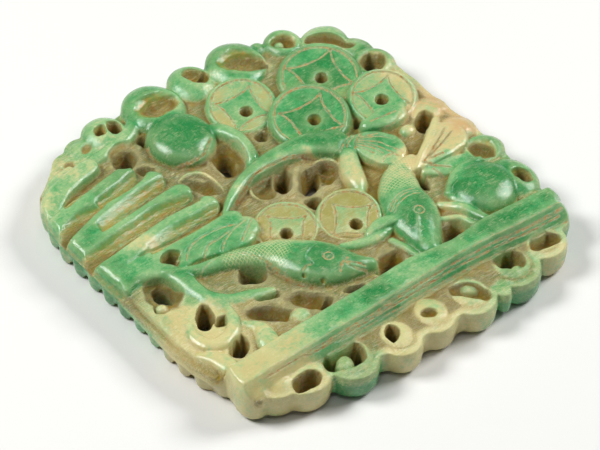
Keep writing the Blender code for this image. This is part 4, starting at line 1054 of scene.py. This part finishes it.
print("openings:", len(OPENINGS), "fields on the back:", len(FIELDS))

# %% [markdown]
# ## From two maps to one stone
# A map can't hold a wall or a tunnel. So the stone is described once more as a block of small
# cells, each with its distance to the nearest surface: the front, the back, the outline or an
# opening. Where the distance is zero there is skin, and OpenVDB, which comes with Blender,
# wraps a mesh round it. A Boolean could do it too, but it would leave hard seams.

# %% Fill the block of cells
STEEPEST = 3.0  # slopes steeper than this count as this steep


def shortening(z):
    """How much shorter the true distance to a sloping face is than the height above it."""
    gx, gy = np.gradient(z, STEP)
    return 1.0 / np.sqrt(1.0 + np.minimum(gx**2 + gy**2, STEEPEST**2))


levels = np.arange(-0.6, THICKNESS + 0.8, STEP)
below_front = (front.z[..., None] - levels) * shortening(front.z)[..., None]
above_back = (levels - back.z[..., None]) * shortening(back.z)[..., None]
block = smooth_min(below_front, above_back, 0.3)
lean = 0.12 * np.clip(3.6 - levels, 0.0, None)  # the wall leans in towards its foot
ledge = 4.6 - 1.1 * fade(-Y, -8.0, 4.0)  # height of the band above the scallops
recess = fade(ledge[..., None] - levels, 0.0, 0.5) + 0.25 * np.clip(2.0 - levels, 0.0, None)
scallop = on_left * (0.55 + 0.30 * np.cos((Y - 10.8) * 2 * math.pi / SCALLOP))
bevel = 0.25 * np.clip(levels - 3.6, 0.0, 1.8)  # the band slopes back towards the front
inset = lean + scallop[..., None] * recess + 0.6 * on_left[..., None] * bevel
block = smooth_min(block, edge_depth[..., None] - inset - 0.05, 0.3)
for centre, radii, turn in OPENINGS:
    at, share = front.oval(centre, radii, turn, 2.5)
    wall = (share - 1.0) * min(radii)
    block[at] = smooth_min(block[at], np.broadcast_to(wall[..., None], block[at].shape), 0.35)
print("cells:", block.size, "of stone:", int((block > 0).sum()))

# %% Wrap the skin and lighten it
MOST_TRIANGLES = 190000

grid = openvdb.FloatGrid(background=1.0)
grid.copyFromArray(np.ascontiguousarray(-block, dtype=np.float32))
points, quads = grid.convertToQuads(isovalue=0.0)
corner = np.array([lines_x[0] - MIDDLE[0], lines_y[0] - MIDDLE[1], levels[0]])
points = (points * STEP + corner) * MM
skin = bpy.data.meshes.new("jade_fish_plaque")
skin.from_pydata(points.tolist(), [], quads.tolist())
skin.update()
plaque = bpy.data.objects.new("jade_fish_plaque", skin)
bpy.context.scene.collection.objects.link(plaque)
print("wrapped with", len(skin.vertices), "points")


def kept_part(target):
    """Turns the skin outwards and removes any crumb that isn't joined to the main body."""
    mesh = bmesh.new()
    mesh.from_mesh(target.data)
    if mesh.calc_volume(signed=True) < 0:
        bmesh.ops.reverse_faces(mesh, faces=mesh.faces[:])
    mesh.verts.ensure_lookup_table()
    group = np.full(len(mesh.verts), -1)
    sizes = []
    for start in mesh.verts:
        if group[start.index] >= 0:
            continue
        label = len(sizes)
        group[start.index] = label
        waiting = [start]
        count = 0
        while waiting:
            point = waiting.pop()
            count += 1
            for edge in point.link_edges:
                other = edge.other_vert(point)
                if group[other.index] < 0:
                    group[other.index] = label
                    waiting.append(other)
        sizes.append(count)
    main = int(np.argmax(sizes))
    crumbs = [point for point in mesh.verts if group[point.index] != main]
    bmesh.ops.delete(mesh, geom=crumbs, context="VERTS")
    mesh.to_mesh(target.data)
    mesh.free()
    return len(sizes) - 1


thinner = plaque.modifiers.new("thin_out", "DECIMATE")
thinner.use_collapse_triangulate = True
thinner.ratio = min(1.0, MOST_TRIANGLES / (2 * len(skin.polygons)))
with bpy.context.temp_override(object=plaque, active_object=plaque):
    bpy.ops.object.modifier_apply(modifier=thinner.name)
print("crumbs removed:", kept_part(plaque))
skin = plaque.data
skin.shade_smooth()
print("finished with", len(skin.polygons), "triangles")

# %% [markdown]
# ## Where the stone is green
# Jade like this is one stone with clouds of emerald green in a pale ground. The clouds ignore
# the carving mostly, but the carver turned the greenest places into the heads, beads and
# coins. So the colour is laid as patches over the plan: each has a place, a reach, a strength
# of green and a warmth, and between them the colour is mixed by distance.

# %% Lay the colour patches
PATCHES = [  # x, y, reach, green, warmth
    # clouds of the head
    (-26.0, 28.0, 4.0, 0.30, 0.5), (-20.9, 32.0, 3.5, 0.55, 0.4), (-16.0, 30.5, 3.0, 0.35, 0.5),
    (-8.5, 33.0, 4.0, 0.75, 0.3), (-3.0, 30.0, 3.0, 0.45, 0.5), (1.0, 33.5, 3.0, 0.60, 0.4),
    (5.0, 31.0, 2.5, 0.35, 0.5), (10.0, 34.0, 4.0, 0.95, 0.3), (13.0, 30.0, 3.0, 0.70, 0.4),
    (19.0, 33.0, 3.5, 0.90, 0.3), (20.5, 30.5, 2.0, 0.30, 0.5), (25.8, 28.5, 3.5, 0.45, 0.4),
    (29.0, 23.5, 2.5, 0.75, 0.4), (29.0, 20.0, 3.0, 0.90, 0.3), (30.0, 13.0, 4.0, 0.20, 0.5),
    # right side
    (30.5, 5.0, 3.5, 0.05, 0.95), (31.0, -2.0, 3.5, 0.05, 1.0), (32.0, -8.5, 3.5, 0.85, 0.3),
    (32.5, -17.0, 4.0, 0.85, 0.3), (27.0, 4.0, 3.0, 0.10, 0.7),
    # coins
    (19.8, 22.0, 6.0, 1.00, 0.2), (5.4, 23.1, 5.0, 0.50, 0.2), (25.0, 11.5, 4.5, 0.60, 0.2),
    (12.5, 14.0, 5.5, 0.97, 0.2), (-5.0, -2.9, 5.0, 0.36, 0.0), (4.5, -7.1, 4.8, 0.22, 0.0),
    # beads and ribbon
    (-7.0, 23.5, 4.8, 1.00, 0.2), (26.0, -14.5, 5.0, 0.92, 0.2), (0.5, 19.0, 2.5, 0.50, 0.3),
    (-4.0, 15.0, 3.0, 0.20, 0.6),
    # wave crests
    (-31.0, 24.5, 3.5, 0.35, 0.5), (-30.0, 20.5, 3.0, 0.55, 0.4), (-23.0, 21.5, 3.5, 0.92, 0.3),
    (-31.0, 15.5, 3.0, 0.70, 0.3), (-22.0, 17.5, 3.5, 0.65, 0.3), (-32.0, 10.5, 3.5, 0.75, 0.3),
    (-26.0, 11.5, 3.0, 0.45, 0.4), (-19.0, 12.5, 4.0, 0.75, 0.3), (-33.0, 5.0, 3.0, 0.75, 0.3),
    (-27.0, 7.5, 2.8, 0.15, 0.5), (-19.0, 8.5, 3.5, 0.60, 0.3), (-13.0, 8.0, 3.0, 0.50, 0.3),
    (-28.0, 3.0, 3.0, 0.50, 0.3), (-17.0, 3.0, 4.0, 0.60, 0.3), (-34.0, 0.0, 3.0, 0.90, 0.3),
    # handle, hair and leaves
    (-6.0, 7.2, 1.3, 0.08, 0.6), (-1.5, 8.6, 1.2, 0.08, 0.6), (3.0, 8.7, 1.2, 0.08, 0.6),
    (7.2, 7.2, 1.3, 0.10, 0.6), (-9.0, 6.8, 2.5, 0.55, 0.4), (-3.0, 9.6, 3.0, 0.80, 0.3),
    (4.0, 10.2, 3.5, 0.90, 0.2),
    (10.5, 8.5, 3.0, 0.95, 0.2), (18.0, 3.5, 3.0, 0.75, 0.2), (15.0, 0.0, 2.5, 0.35, 0.4),
    (10.5, -0.5, 2.6, 0.10, 0.55), (22.0, 7.5, 3.5, 0.62, 0.3), (4.0, 4.0, 4.0, 0.10, 0.6),
    # left fish and the ground round it
    (-1.0, -16.0, 3.5, 0.95, 0.2), (-5.0, -13.5, 3.5, 1.00, 0.2), (-9.5, -11.0, 3.0, 0.80, 0.2),
    (-12.0, -7.0, 3.0, 0.60, 0.3), (-17.0, -3.5, 3.0, 0.72, 0.3), (-24.5, -1.5, 3.5, 0.78, 0.3),
    (-25.0, -6.0, 2.0, 0.60, 0.3), (-20.0, -8.5, 3.0, 0.80, 0.3), (-16.0, -10.5, 2.5, 0.55, 0.4),
    (-30.0, -10.0, 4.0, 0.08, 0.5), (-30.0, -18.0, 5.0, 0.04, 0.5), (-22.0, -13.0, 3.0, 0.30, 0.4),
    (-21.0, -19.5, 3.5, 0.25, 0.5), (-14.0, -19.0, 3.0, 0.35, 0.5), (-34.5, -8.0, 3.0, 0.45, 0.3),
    (-34.0, -20.0, 4.0, 0.03, 0.3), (-34.4, 12.0, 2.0, 0.85, 0.2),
    # right fish
    (12.5, -14.5, 4.0, 0.97, 0.2), (11.0, -19.5, 3.0, 0.75, 0.3), (12.5, -9.0, 3.0, 0.60, 0.3),
    (15.0, -5.0, 2.8, 0.35, 0.4), (20.0, -3.0, 2.8, 0.05, 0.6), (26.5, -2.0, 4.2, 0.02, 0.55),
    (24.0, -9.0, 2.6, 0.45, 0.4), (2.0, -13.0, 3.0, 0.40, 0.4), (7.5, -12.8, 2.5, 0.55, 0.3),
    (17.5, -17.0, 3.0, 0.20, 0.6), (3.5, -17.5, 3.0, 0.12, 0.7),
    # rim
    (-28.0, -25.5, 5.0, 0.05, 0.4), (-20.5, -24.5, 3.0, 0.15, 0.4), (-15.0, -24.5, 3.5, 0.55, 0.3),
    (-9.0, -24.5, 3.0, 0.62, 0.2), (-3.5, -24.3, 3.2, 0.98, 0.2), (4.5, -24.0, 3.5, 0.55, 0.2),
    (11.0, -24.0, 3.5, 0.85, 0.2), (20.0, -24.0, 5.0, 1.00, 0.2), (29.0, -24.5, 4.0, 0.88, 0.2),
    (4.0, -28.0, 3.5, 0.35, 0.4), (16.0, -27.5, 3.5, 0.45, 0.4), (-12.0, -28.0, 3.0, 0.35, 0.4),
    # foam of the foot
    (-27.5, -33.5, 1.8, 0.80, 0.2),
    (-30.0, -29.0, 4.0, 0.08, 0.4), (-22.0, -31.5, 3.5, 0.08, 0.45), (-13.6, -33.5, 4.0, 0.85, 0.2),
    (-5.0, -33.5, 3.5, 0.08, 0.5), (2.2, -33.0, 3.5, 0.05, 0.45), (9.0, -34.0, 3.0, 0.20, 0.45),
    (12.0, -33.0, 2.5, 0.65, 0.3), (18.8, -32.5, 4.0, 0.88, 0.2), (25.4, -31.0, 3.5, 0.15, 0.6),
    (29.0, -27.0, 3.0, 0.60, 0.3), (14.0, -34.5, 2.0, 0.60, 0.4),
]


def mixed_patches(x, y):
    """Strength of green and warmth of the pale ground at each point of the plan."""
    x = x + 0.9 * soft_noise(x, y, 3.5, 11) + 0.4 * soft_noise(x, y, 1.4, 12)
    y = y + 0.9 * soft_noise(x, y, 3.5, 13) + 0.4 * soft_noise(x, y, 1.4, 14)
    total = np.full(x.shape, 1e-9)
    green = np.zeros(x.shape)
    warmth = np.zeros(x.shape)
    for place_x, place_y, reach, patch_green, patch_warmth in PATCHES:
        share = np.exp(-2.0 * ((x - place_x) ** 2 + (y - place_y) ** 2) / reach**2)
        total += share
        green += share * patch_green
        warmth += share * patch_warmth
    return green / total, warmth / total


green_map, warm_map = mixed_patches(X, Y)
green_map -= 0.30 * front.pale + 0.30 * rough  # dull places look paler
mean_green = round(float(green_map[edge_depth > 0].mean()), 2)
print("colour patches:", len(PATCHES), "mean green:", mean_green)

# %% [markdown]
# ## Notes for the finish
# Each point of the mesh carries a few numbers that the material reads: how green the stone is,
# how warm its pale ground, whether the point stands on an edge, where painted highlights go,
# or lies in a hollow or among the deep pits, where brown stain and painted shade go, whether
# it was dug, cut or left rough, and where it lies along a fish. They could be painted by hand,
# but measured from the carving the wax and dust fall where they gather on the real thing, and
# the painted highlights and shade fall on the edges and in the deep pits.
# The walls of the openings and the back count as hollow, so wax lies on them too, and they get
# half of the painted shade and brown stain given to the deep pits.

# %% Measure the finish and store it on the mesh
def read_map(values, x, y):
    """A map's value between its grid points."""
    u = np.clip((x - lines_x[0]) / STEP, 0, values.shape[0] - 1.001)
    v = np.clip((y - lines_y[0]) / STEP, 0, values.shape[1] - 1.001)
    i = u.astype(int)
    j = v.astype(int)
    s = u - i
    t = v - j
    low = values[i, j] * (1 - s) + values[i + 1, j] * s
    high = values[i, j + 1] * (1 - s) + values[i + 1, j + 1] * s
    return low * (1 - t) + high * t


spots = np.empty(len(skin.vertices) * 3)
skin.vertices.foreach_get("co", spots)
spots = spots.reshape(-1, 3) / MM
plan_x = spots[:, 0] + MIDDLE[0]
plan_y = spots[:, 1] + MIDDLE[1]
height = spots[:, 2]
on_front = fade(height - read_map(front.z, plan_x, plan_y), -1.0, -0.4)
# 1 on the walls of the openings and on the back, and 0 on the outer wall
on_wall = (1.0 - on_front) * fade(read_map(edge_depth, plan_x, plan_y), 1.0, 2.0)
front_maps = {
    "cut": front.cut,
    "rough": rough,
    # how far a point stands out above its surroundings; painted highlights are laid along these edges
    "crest": fade(front.z - blurred(front.z, 0.6), 0.03, 0.25),
    "hollow": fade(blurred(front.z, 1.2) - front.z, 0.1, 1.1) * (1.0 - 0.5 * front.polish),
    # how deep a point lies below a wide surrounding; painted shade, with some brown stain, is laid in these
    # deep pits
    "pit_stain_and_shade": fade(blurred(front.z, 2.2) - front.z, 1.5, 3.2),
    "dug": front.dug,
    "fish": front.scaly,
    "fish_run": front.run,
    "fish_side": front.side,
}
notes = {"green": read_map(green_map, plan_x, plan_y), "warmth": read_map(warm_map, plan_x, plan_y)}
for name, values in front_maps.items():
    notes[name] = read_map(values, plan_x, plan_y) * on_front
notes["hollow"] = np.maximum(notes["hollow"], 0.8 * on_wall)
# the walls of the openings and the back get half of the painted shade and brown stain of the deep pits
notes["pit_stain_and_shade"] = np.maximum(notes["pit_stain_and_shade"], 0.5 * on_wall)
for name, values in notes.items():
    note = skin.attributes.new(name, "FLOAT", "POINT")
    note.data.foreach_set("value", values.astype(np.float32))
    print(name, "averages", round(float(values.mean()), 2))

# %% [markdown]
# ## The jade itself
# Polished jade is a dense, slightly cloudy stone. Light enters it, scatters a little and comes
# back softened, which is why its edges never look black. A plain green plastic would miss
# that, so the shader scatters some light below the surface and keeps a clear polish on top.
#
# A material is a tree of small nodes. A few helpers with short names keep the recipe short:
# each adds one node, feeds it and gives back its output.

# %% Start the material and its helpers
jade = bpy.data.materials.new("carved_jade")
jade.use_nodes = True
tree = jade.node_tree
shader = tree.nodes["Principled BSDF"]


def add_node(kind, **settings):
    """A new node with the given settings."""
    node = tree.nodes.new(kind)
    for name, value in settings.items():
        setattr(node, name, value)
    return node


def feed(socket, value):
    """Gives a socket a number, a colour or the output of another node."""
    if isinstance(value, (int, float)):
        socket.default_value = value
    elif isinstance(value, tuple):
        socket.default_value = (*value, 1.0)
    else:
        tree.links.new(value, socket)


def maths(operation, a, b, clamp=False):
    """A sum, a product or another operation on two values."""
    node = add_node("ShaderNodeMath", operation=operation, use_clamp=clamp)
    feed(node.inputs[0], a)
    feed(node.inputs[1], b)
    return node.outputs[0]


def product(*factors):
    """All the factors multiplied together."""
    found = factors[0]
    for factor in factors[1:]:
        found = maths("MULTIPLY", found, factor)
    return found


def mixed(factor, a, b, kind="RGBA"):
    """a where factor is 0 and b where it is 1."""
    node = add_node("ShaderNodeMix", data_type=kind)
    sockets = {socket.identifier: socket for socket in (*node.inputs, *node.outputs)}
    suffix = "Color" if kind == "RGBA" else "Float"
    feed(sockets["Factor_Float"], factor)
    feed(sockets["A_" + suffix], a)
    feed(sockets["B_" + suffix], b)
    return sockets["Result_" + suffix]


def ramp(factor, stops):
    """A colour ramp fed by factor, with (position, colour) stops."""
    node = add_node("ShaderNodeValToRGB")
    elements = node.color_ramp.elements
    while len(elements) < len(stops):
        elements.new(0.5)
    for element, (position, colour) in zip(elements, stops):
        element.position = position
        element.color = (*colour, 1.0)
    feed(node.inputs["Fac"], factor)
    return node.outputs["Color"]


def slope(factor, start, end, first=0.0, last=1.0):
    """first where factor is below start, last where it is above end."""
    return ramp(factor, [(start, (first,) * 3), (end, (last,) * 3)])


def noise(at, per_mm, detail, roughness, distortion=0.0):
    """A cloudy pattern from 0 to 1, with about per_mm lumps to the millimetre."""
    node = add_node("ShaderNodeTexNoise")
    feed(node.inputs["Vector"], at)
    feed(node.inputs["Scale"], per_mm / MM)
    feed(node.inputs["Detail"], detail)
    feed(node.inputs["Roughness"], roughness)
    feed(node.inputs["Distortion"], distortion)
    return node.outputs["Fac"]


def centred(factor, width):
    """Moves a pattern that lies round 0.5 to lie round 0, and scales it by width."""
    return maths("MULTIPLY", maths("SUBTRACT", factor, 0.5), width)


print("material:", jade.name)

# %% [markdown]
# ## Clouds of green
# The green runs from a pale celadon to emerald, and where it fades the pale ground of the
# stone shows, grey, cream or peach. The patches give the broad places. Two noises, one slow
# and one fine, break them up, so that no patch has a drawn outline.

# %% Mix the pale and the green stone
EMERALD = (0.015, 0.215, 0.055)
LEAF_GREEN = (0.056, 0.340, 0.110)
CELADON = (0.260, 0.460, 0.205)
CREAM = (0.610, 0.530, 0.240)
GREY_STONE = (0.335, 0.315, 0.090)
PEACH = (0.600, 0.380, 0.170)
MILK = (0.560, 0.650, 0.360)

place = add_node("ShaderNodeTexCoord").outputs["Object"]
read = {name: add_node("ShaderNodeAttribute", attribute_name=name).outputs["Fac"] for name in notes}
clouds = noise(place, 0.35, 5.0, 0.6)
flecks = noise(place, 1.6, 6.0, 0.6)
wisps = noise(place, 0.3, 6.0, 0.6, 0.8)

greenness = maths("ADD", read["green"], centred(clouds, 0.9))
greenness = maths("ADD", greenness, centred(flecks, 0.8), clamp=True)
pale = ramp(read["warmth"], [(0.0, GREY_STONE), (0.5, CREAM), (1.0, PEACH)])
vivid = ramp(greenness, [(0.26, CELADON), (0.60, LEAF_GREEN), (0.96, EMERALD)])
tint = slope(greenness, 0.04, 0.36)
stone = mixed(tint, pale, vivid)
stone = mixed(product(slope(wisps, 0.46, 0.66), 0.14), stone, MILK)
print("jade starts from", len(read), "notes")

# %% [markdown]
# ## Tool marks and fish scales
# The scraper leaves short straight scratches in three directions. They are a noise stretched
# along one axis and turned. The scales of a fish are two sets of slanting lines that cross,
# drawn from the distances along the fish and beside its middle line, so they follow its bend.

# %% Scratch it and cut the fish scales
STRETCH = (0.22, 1.6, 1.0)  # a scratch is about seven times as long as it is wide
SCALE_LINES = 1.5  # to the millimetre


def scratches(degrees):
    """Short straight tool marks that run at the given angle, from 0 to 1."""
    turned = add_node("ShaderNodeMapping")
    turned.inputs["Rotation"].default_value = (0.0, 0.0, math.radians(degrees))
    turned.inputs["Scale"].default_value = STRETCH
    feed(turned.inputs["Vector"], place)
    return slope(noise(turned.outputs["Vector"], 2.6, 3.0, 0.6), 0.53, 0.64)


def scale_lines(slant):
    """One set of slanting lines over the fishes, a little uneven."""
    along = maths("ADD", read["fish_run"], maths("MULTIPLY", read["fish_side"], slant))
    along = maths("ADD", along, product(flecks, 0.5))
    wave = maths("SINE", maths("MULTIPLY", along, 2 * math.pi * SCALE_LINES), 0.0)
    return slope(wave, 0.60, 0.98)


hatching = maths("MAXIMUM", scratches(38), scratches(-47))
hatching = maths("MAXIMUM", hatching, product(scratches(5), 0.8))
scales = product(maths("MAXIMUM", scale_lines(0.9), scale_lines(-0.9)), read["fish"])
print("tool marks: 3 directions, scale lines: 2")

# %% [markdown]
# ## Dust, wax, worn lines, painted highlights and painted shade
# What tells an old carving from a new one lies in its low places: ochre residue in the hollows,
# dark brown in the deep pits, partly brown residue and partly painted shade, pale dust on the
# rough ground, worn pale lines with flecks of orange wax in them. Light green and pale frost on
# the standing edges are painted highlights. Each is one thin layer over the last, so for the
# dust and wax the order of the table is the order of ageing.

# %% Lay the dust and the wax
DUST = (0.850, 0.780, 0.470)
GOLD = (0.520, 0.360, 0.080)
# pale frost of the worn lines and scales, also laid as a painted highlight on the edges of the rough ground
FROST_AND_HIGHLIGHT = (0.700, 0.650, 0.310)
# painted highlight along every standing edge
LIT_EDGE = (0.560, 0.700, 0.340)
OCHRE = (0.400, 0.290, 0.015)
ORANGE = (0.600, 0.250, 0.045)
# dark brown of the deep pits, partly brown residue and partly painted shade
BROWN_STAIN_AND_SHADE = (0.080, 0.058, 0.003)

specks = noise(place, 1.9, 4.0, 0.75)
grit = noise(place, 5.0, 4.0, 0.7)
smears = noise(place, 0.8, 5.0, 0.65, 0.6)
blots = noise(place, 0.9, 4.0, 0.7, 0.4)

coarse = read["rough"]
dusty = maths("ADD", coarse, 0.12)
gritty = maths("ADD", coarse, 0.12, clamp=True)
stained = maths("MAXIMUM", read["hollow"], read["dug"])
stained = product(stained, mixed(tint, 1.0, 0.6, kind="FLOAT"))
worn = slope(flecks, 0.40, 0.52, first=0.35)
lines_seen = product(slope(read["cut"], 0.25, 0.60), worn)
wax_spots = maths("MAXIMUM", slope(flecks, 0.56, 0.62), slope(blots, 0.59, 0.64))
wax = maths(
    "MAXIMUM",
    product(lines_seen, slope(flecks, 0.52, 0.59), 0.75),
    product(stained, wax_spots, 0.8),
)
LAYERS = [  # colour, and the factors that together say how strongly it is laid
    # painted highlight: lighter green along every standing edge
    (LIT_EDGE, read["crest"], 0.22),
    (GREY_STONE, coarse, 0.35),
    (DUST, dusty, slope(specks, 0.56, 0.66), 0.7),
    (OCHRE, coarse, slope(specks, 0.36, 0.46, first=1.0, last=0.0), 0.75),
    (GOLD, coarse, slope(blots, 0.40, 0.56), 0.65),
    (OCHRE, gritty, slope(grit, 0.36, 0.48, first=1.0, last=0.0), 0.55),
    (DUST, gritty, slope(grit, 0.54, 0.64), 0.65),
    (DUST, coarse, hatching, 0.7),
    (DUST, hatching, slope(smears, 0.48, 0.60), 0.22),
    (FROST_AND_HIGHLIGHT, scales, 0.6),
    (OCHRE, stained, slope(smears, 0.36, 0.56, first=0.45), 0.95),
    (GOLD, stained, hatching, 0.25),
    # painted shade with brown residue in the deep pits, on the opening walls and on the back
    (BROWN_STAIN_AND_SHADE, read["pit_stain_and_shade"], 0.9),
    # painted highlight: pale rims along the standing edges of the rough ground
    (FROST_AND_HIGHLIGHT, read["crest"], coarse, 0.6),
    (FROST_AND_HIGHLIGHT, lines_seen, 0.8),
    (ORANGE, wax),
]
for colour, *factors in LAYERS:
    stone = mixed(product(*factors), stone, colour)
feed(shader.inputs["Base Color"], stone)
print("layers over the stone:", len(LAYERS))

# %% [markdown]
# ## Polish
# The high forms are glossy and the low ground and the cuts are matt. Roughness alone would
# still look too smooth in the low places, so a fine bump of grit and scratches lies there,
# and hardly any on the polished forms. Values that are the same all over are set on the
# shader itself, so that they survive an export.

# %% Set the polish and the light inside the stone
FIXED = {
    "Specular IOR Level": 0.48,
    "IOR": 1.6,
    "Subsurface Weight": 0.15,
    "Subsurface Radius": (0.6, 1.0, 0.5),
    "Subsurface Scale": 0.8 * MM,
}
for name, value in FIXED.items():
    shader.inputs[name].default_value = value

dull = maths("MAXIMUM", coarse, read["cut"], clamp=True)
gloss = maths("ADD", mixed(dull, 0.15, 0.36, kind="FLOAT"), centred(grit, 0.3))
feed(shader.inputs["Roughness"], gloss)

bump = add_node("ShaderNodeBump")
relief = maths("ADD", maths("ADD", grit, specks), product(hatching, 1.3))
feed(bump.inputs["Distance"], 0.4 * MM)
feed(bump.inputs["Height"], maths("SUBTRACT", relief, product(scales, 1.5)))
feed(bump.inputs["Strength"], mixed(dull, 0.12, 1.0, kind="FLOAT"))
feed(shader.inputs["Normal"], bump.outputs["Normal"])
skin.materials.append(jade)
print("jade nodes:", len(tree.nodes))

# %% [markdown]
# ## Handing the piece to the frame
# The carved skin stands for the plain solid. It rides on the only body, the plaque itself.

# %% Tie the skin to the solid
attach(plaque, "root")
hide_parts("jade_plaque")
print("carved skin stands for the solid")

# %% [markdown]
# ## Floor, light and camera
# Two wide soft boxes stand on either side, as for any small glossy object, so each rounded
# form gets one broad soft patch of light. A weak one hangs above the front, and a pale floor
# and a dim even sky fill the shadows.

# %% Place the floor and the lights
def flat_sheet(name, size, height, colour):
    """A matt square that lies at the given height."""
    half = size / 2
    data = bpy.data.meshes.new(name)
    corners = [(x, y, height) for x, y in ((-half, -half), (half, -half), (half, half), (-half, half))]
    data.from_pydata(corners, [], [(0, 1, 2, 3)])
    made = bpy.data.objects.new(name, data)
    bpy.context.scene.collection.objects.link(made)
    matt = bpy.data.materials.new(name)
    matt.use_nodes = True
    paint = matt.node_tree.nodes["Principled BSDF"]
    paint.inputs["Base Color"].default_value = (*colour, 1.0)
    paint.inputs["Roughness"].default_value = 0.7
    data.materials.append(matt)
    return made


def soft_box(name, azimuth, elevation, distance, size, power):
    """A square light that faces the plaque. Azimuth 0 is in front, along -Y."""
    a = math.radians(azimuth)
    e = math.radians(elevation)
    towards = Vector((math.sin(a) * math.cos(e), -math.cos(a) * math.cos(e), math.sin(e)))
    light = bpy.data.lights.new(name, "AREA")
    light.shape = "SQUARE"
    light.size = size
    light.energy = power
    lamp = bpy.data.objects.new(name, light)
    lamp.location = towards * distance
    lamp.rotation_euler = towards.to_track_quat("Z", "Y").to_euler()
    bpy.context.scene.collection.objects.link(lamp)
    return lamp


flat_sheet("floor", 6.0, cad_box[0].z, (0.78, 0.78, 0.76))
soft_box("right_box", 75, 42, 0.55, 0.2, 2.2)
soft_box("left_box", -125, 50, 0.55, 0.2, 2.6)
soft_box("front_box", -20, 75, 0.6, 0.2, 0.3)
world = bpy.context.scene.world or bpy.data.worlds.new("studio")
bpy.context.scene.world = world
world.use_nodes = True
sky = world.node_tree.nodes["Background"]
sky.inputs["Color"].default_value = (1.0, 0.98, 0.94, 1.0)
sky.inputs["Strength"].default_value = 0.085
bpy.context.scene.view_settings.view_transform = "Standard"

# %% Place the camera
lens = bpy.data.cameras.new("camera")
lens.lens = 270.0
lens.sensor_width = 36.0
lens.clip_start = 0.01
camera = bpy.data.objects.new("camera", lens)
camera.location = Vector((-302.7, -402.5, 522.1)) * MM
aim = Vector((0.77, 0.19, 0.0)) * MM
camera.rotation_euler = (camera.location - aim).to_track_quat("Z", "Y").to_euler()
bpy.context.scene.collection.objects.link(camera)
bpy.context.scene.camera = camera
print("camera at", [round(v, 3) for v in camera.location])
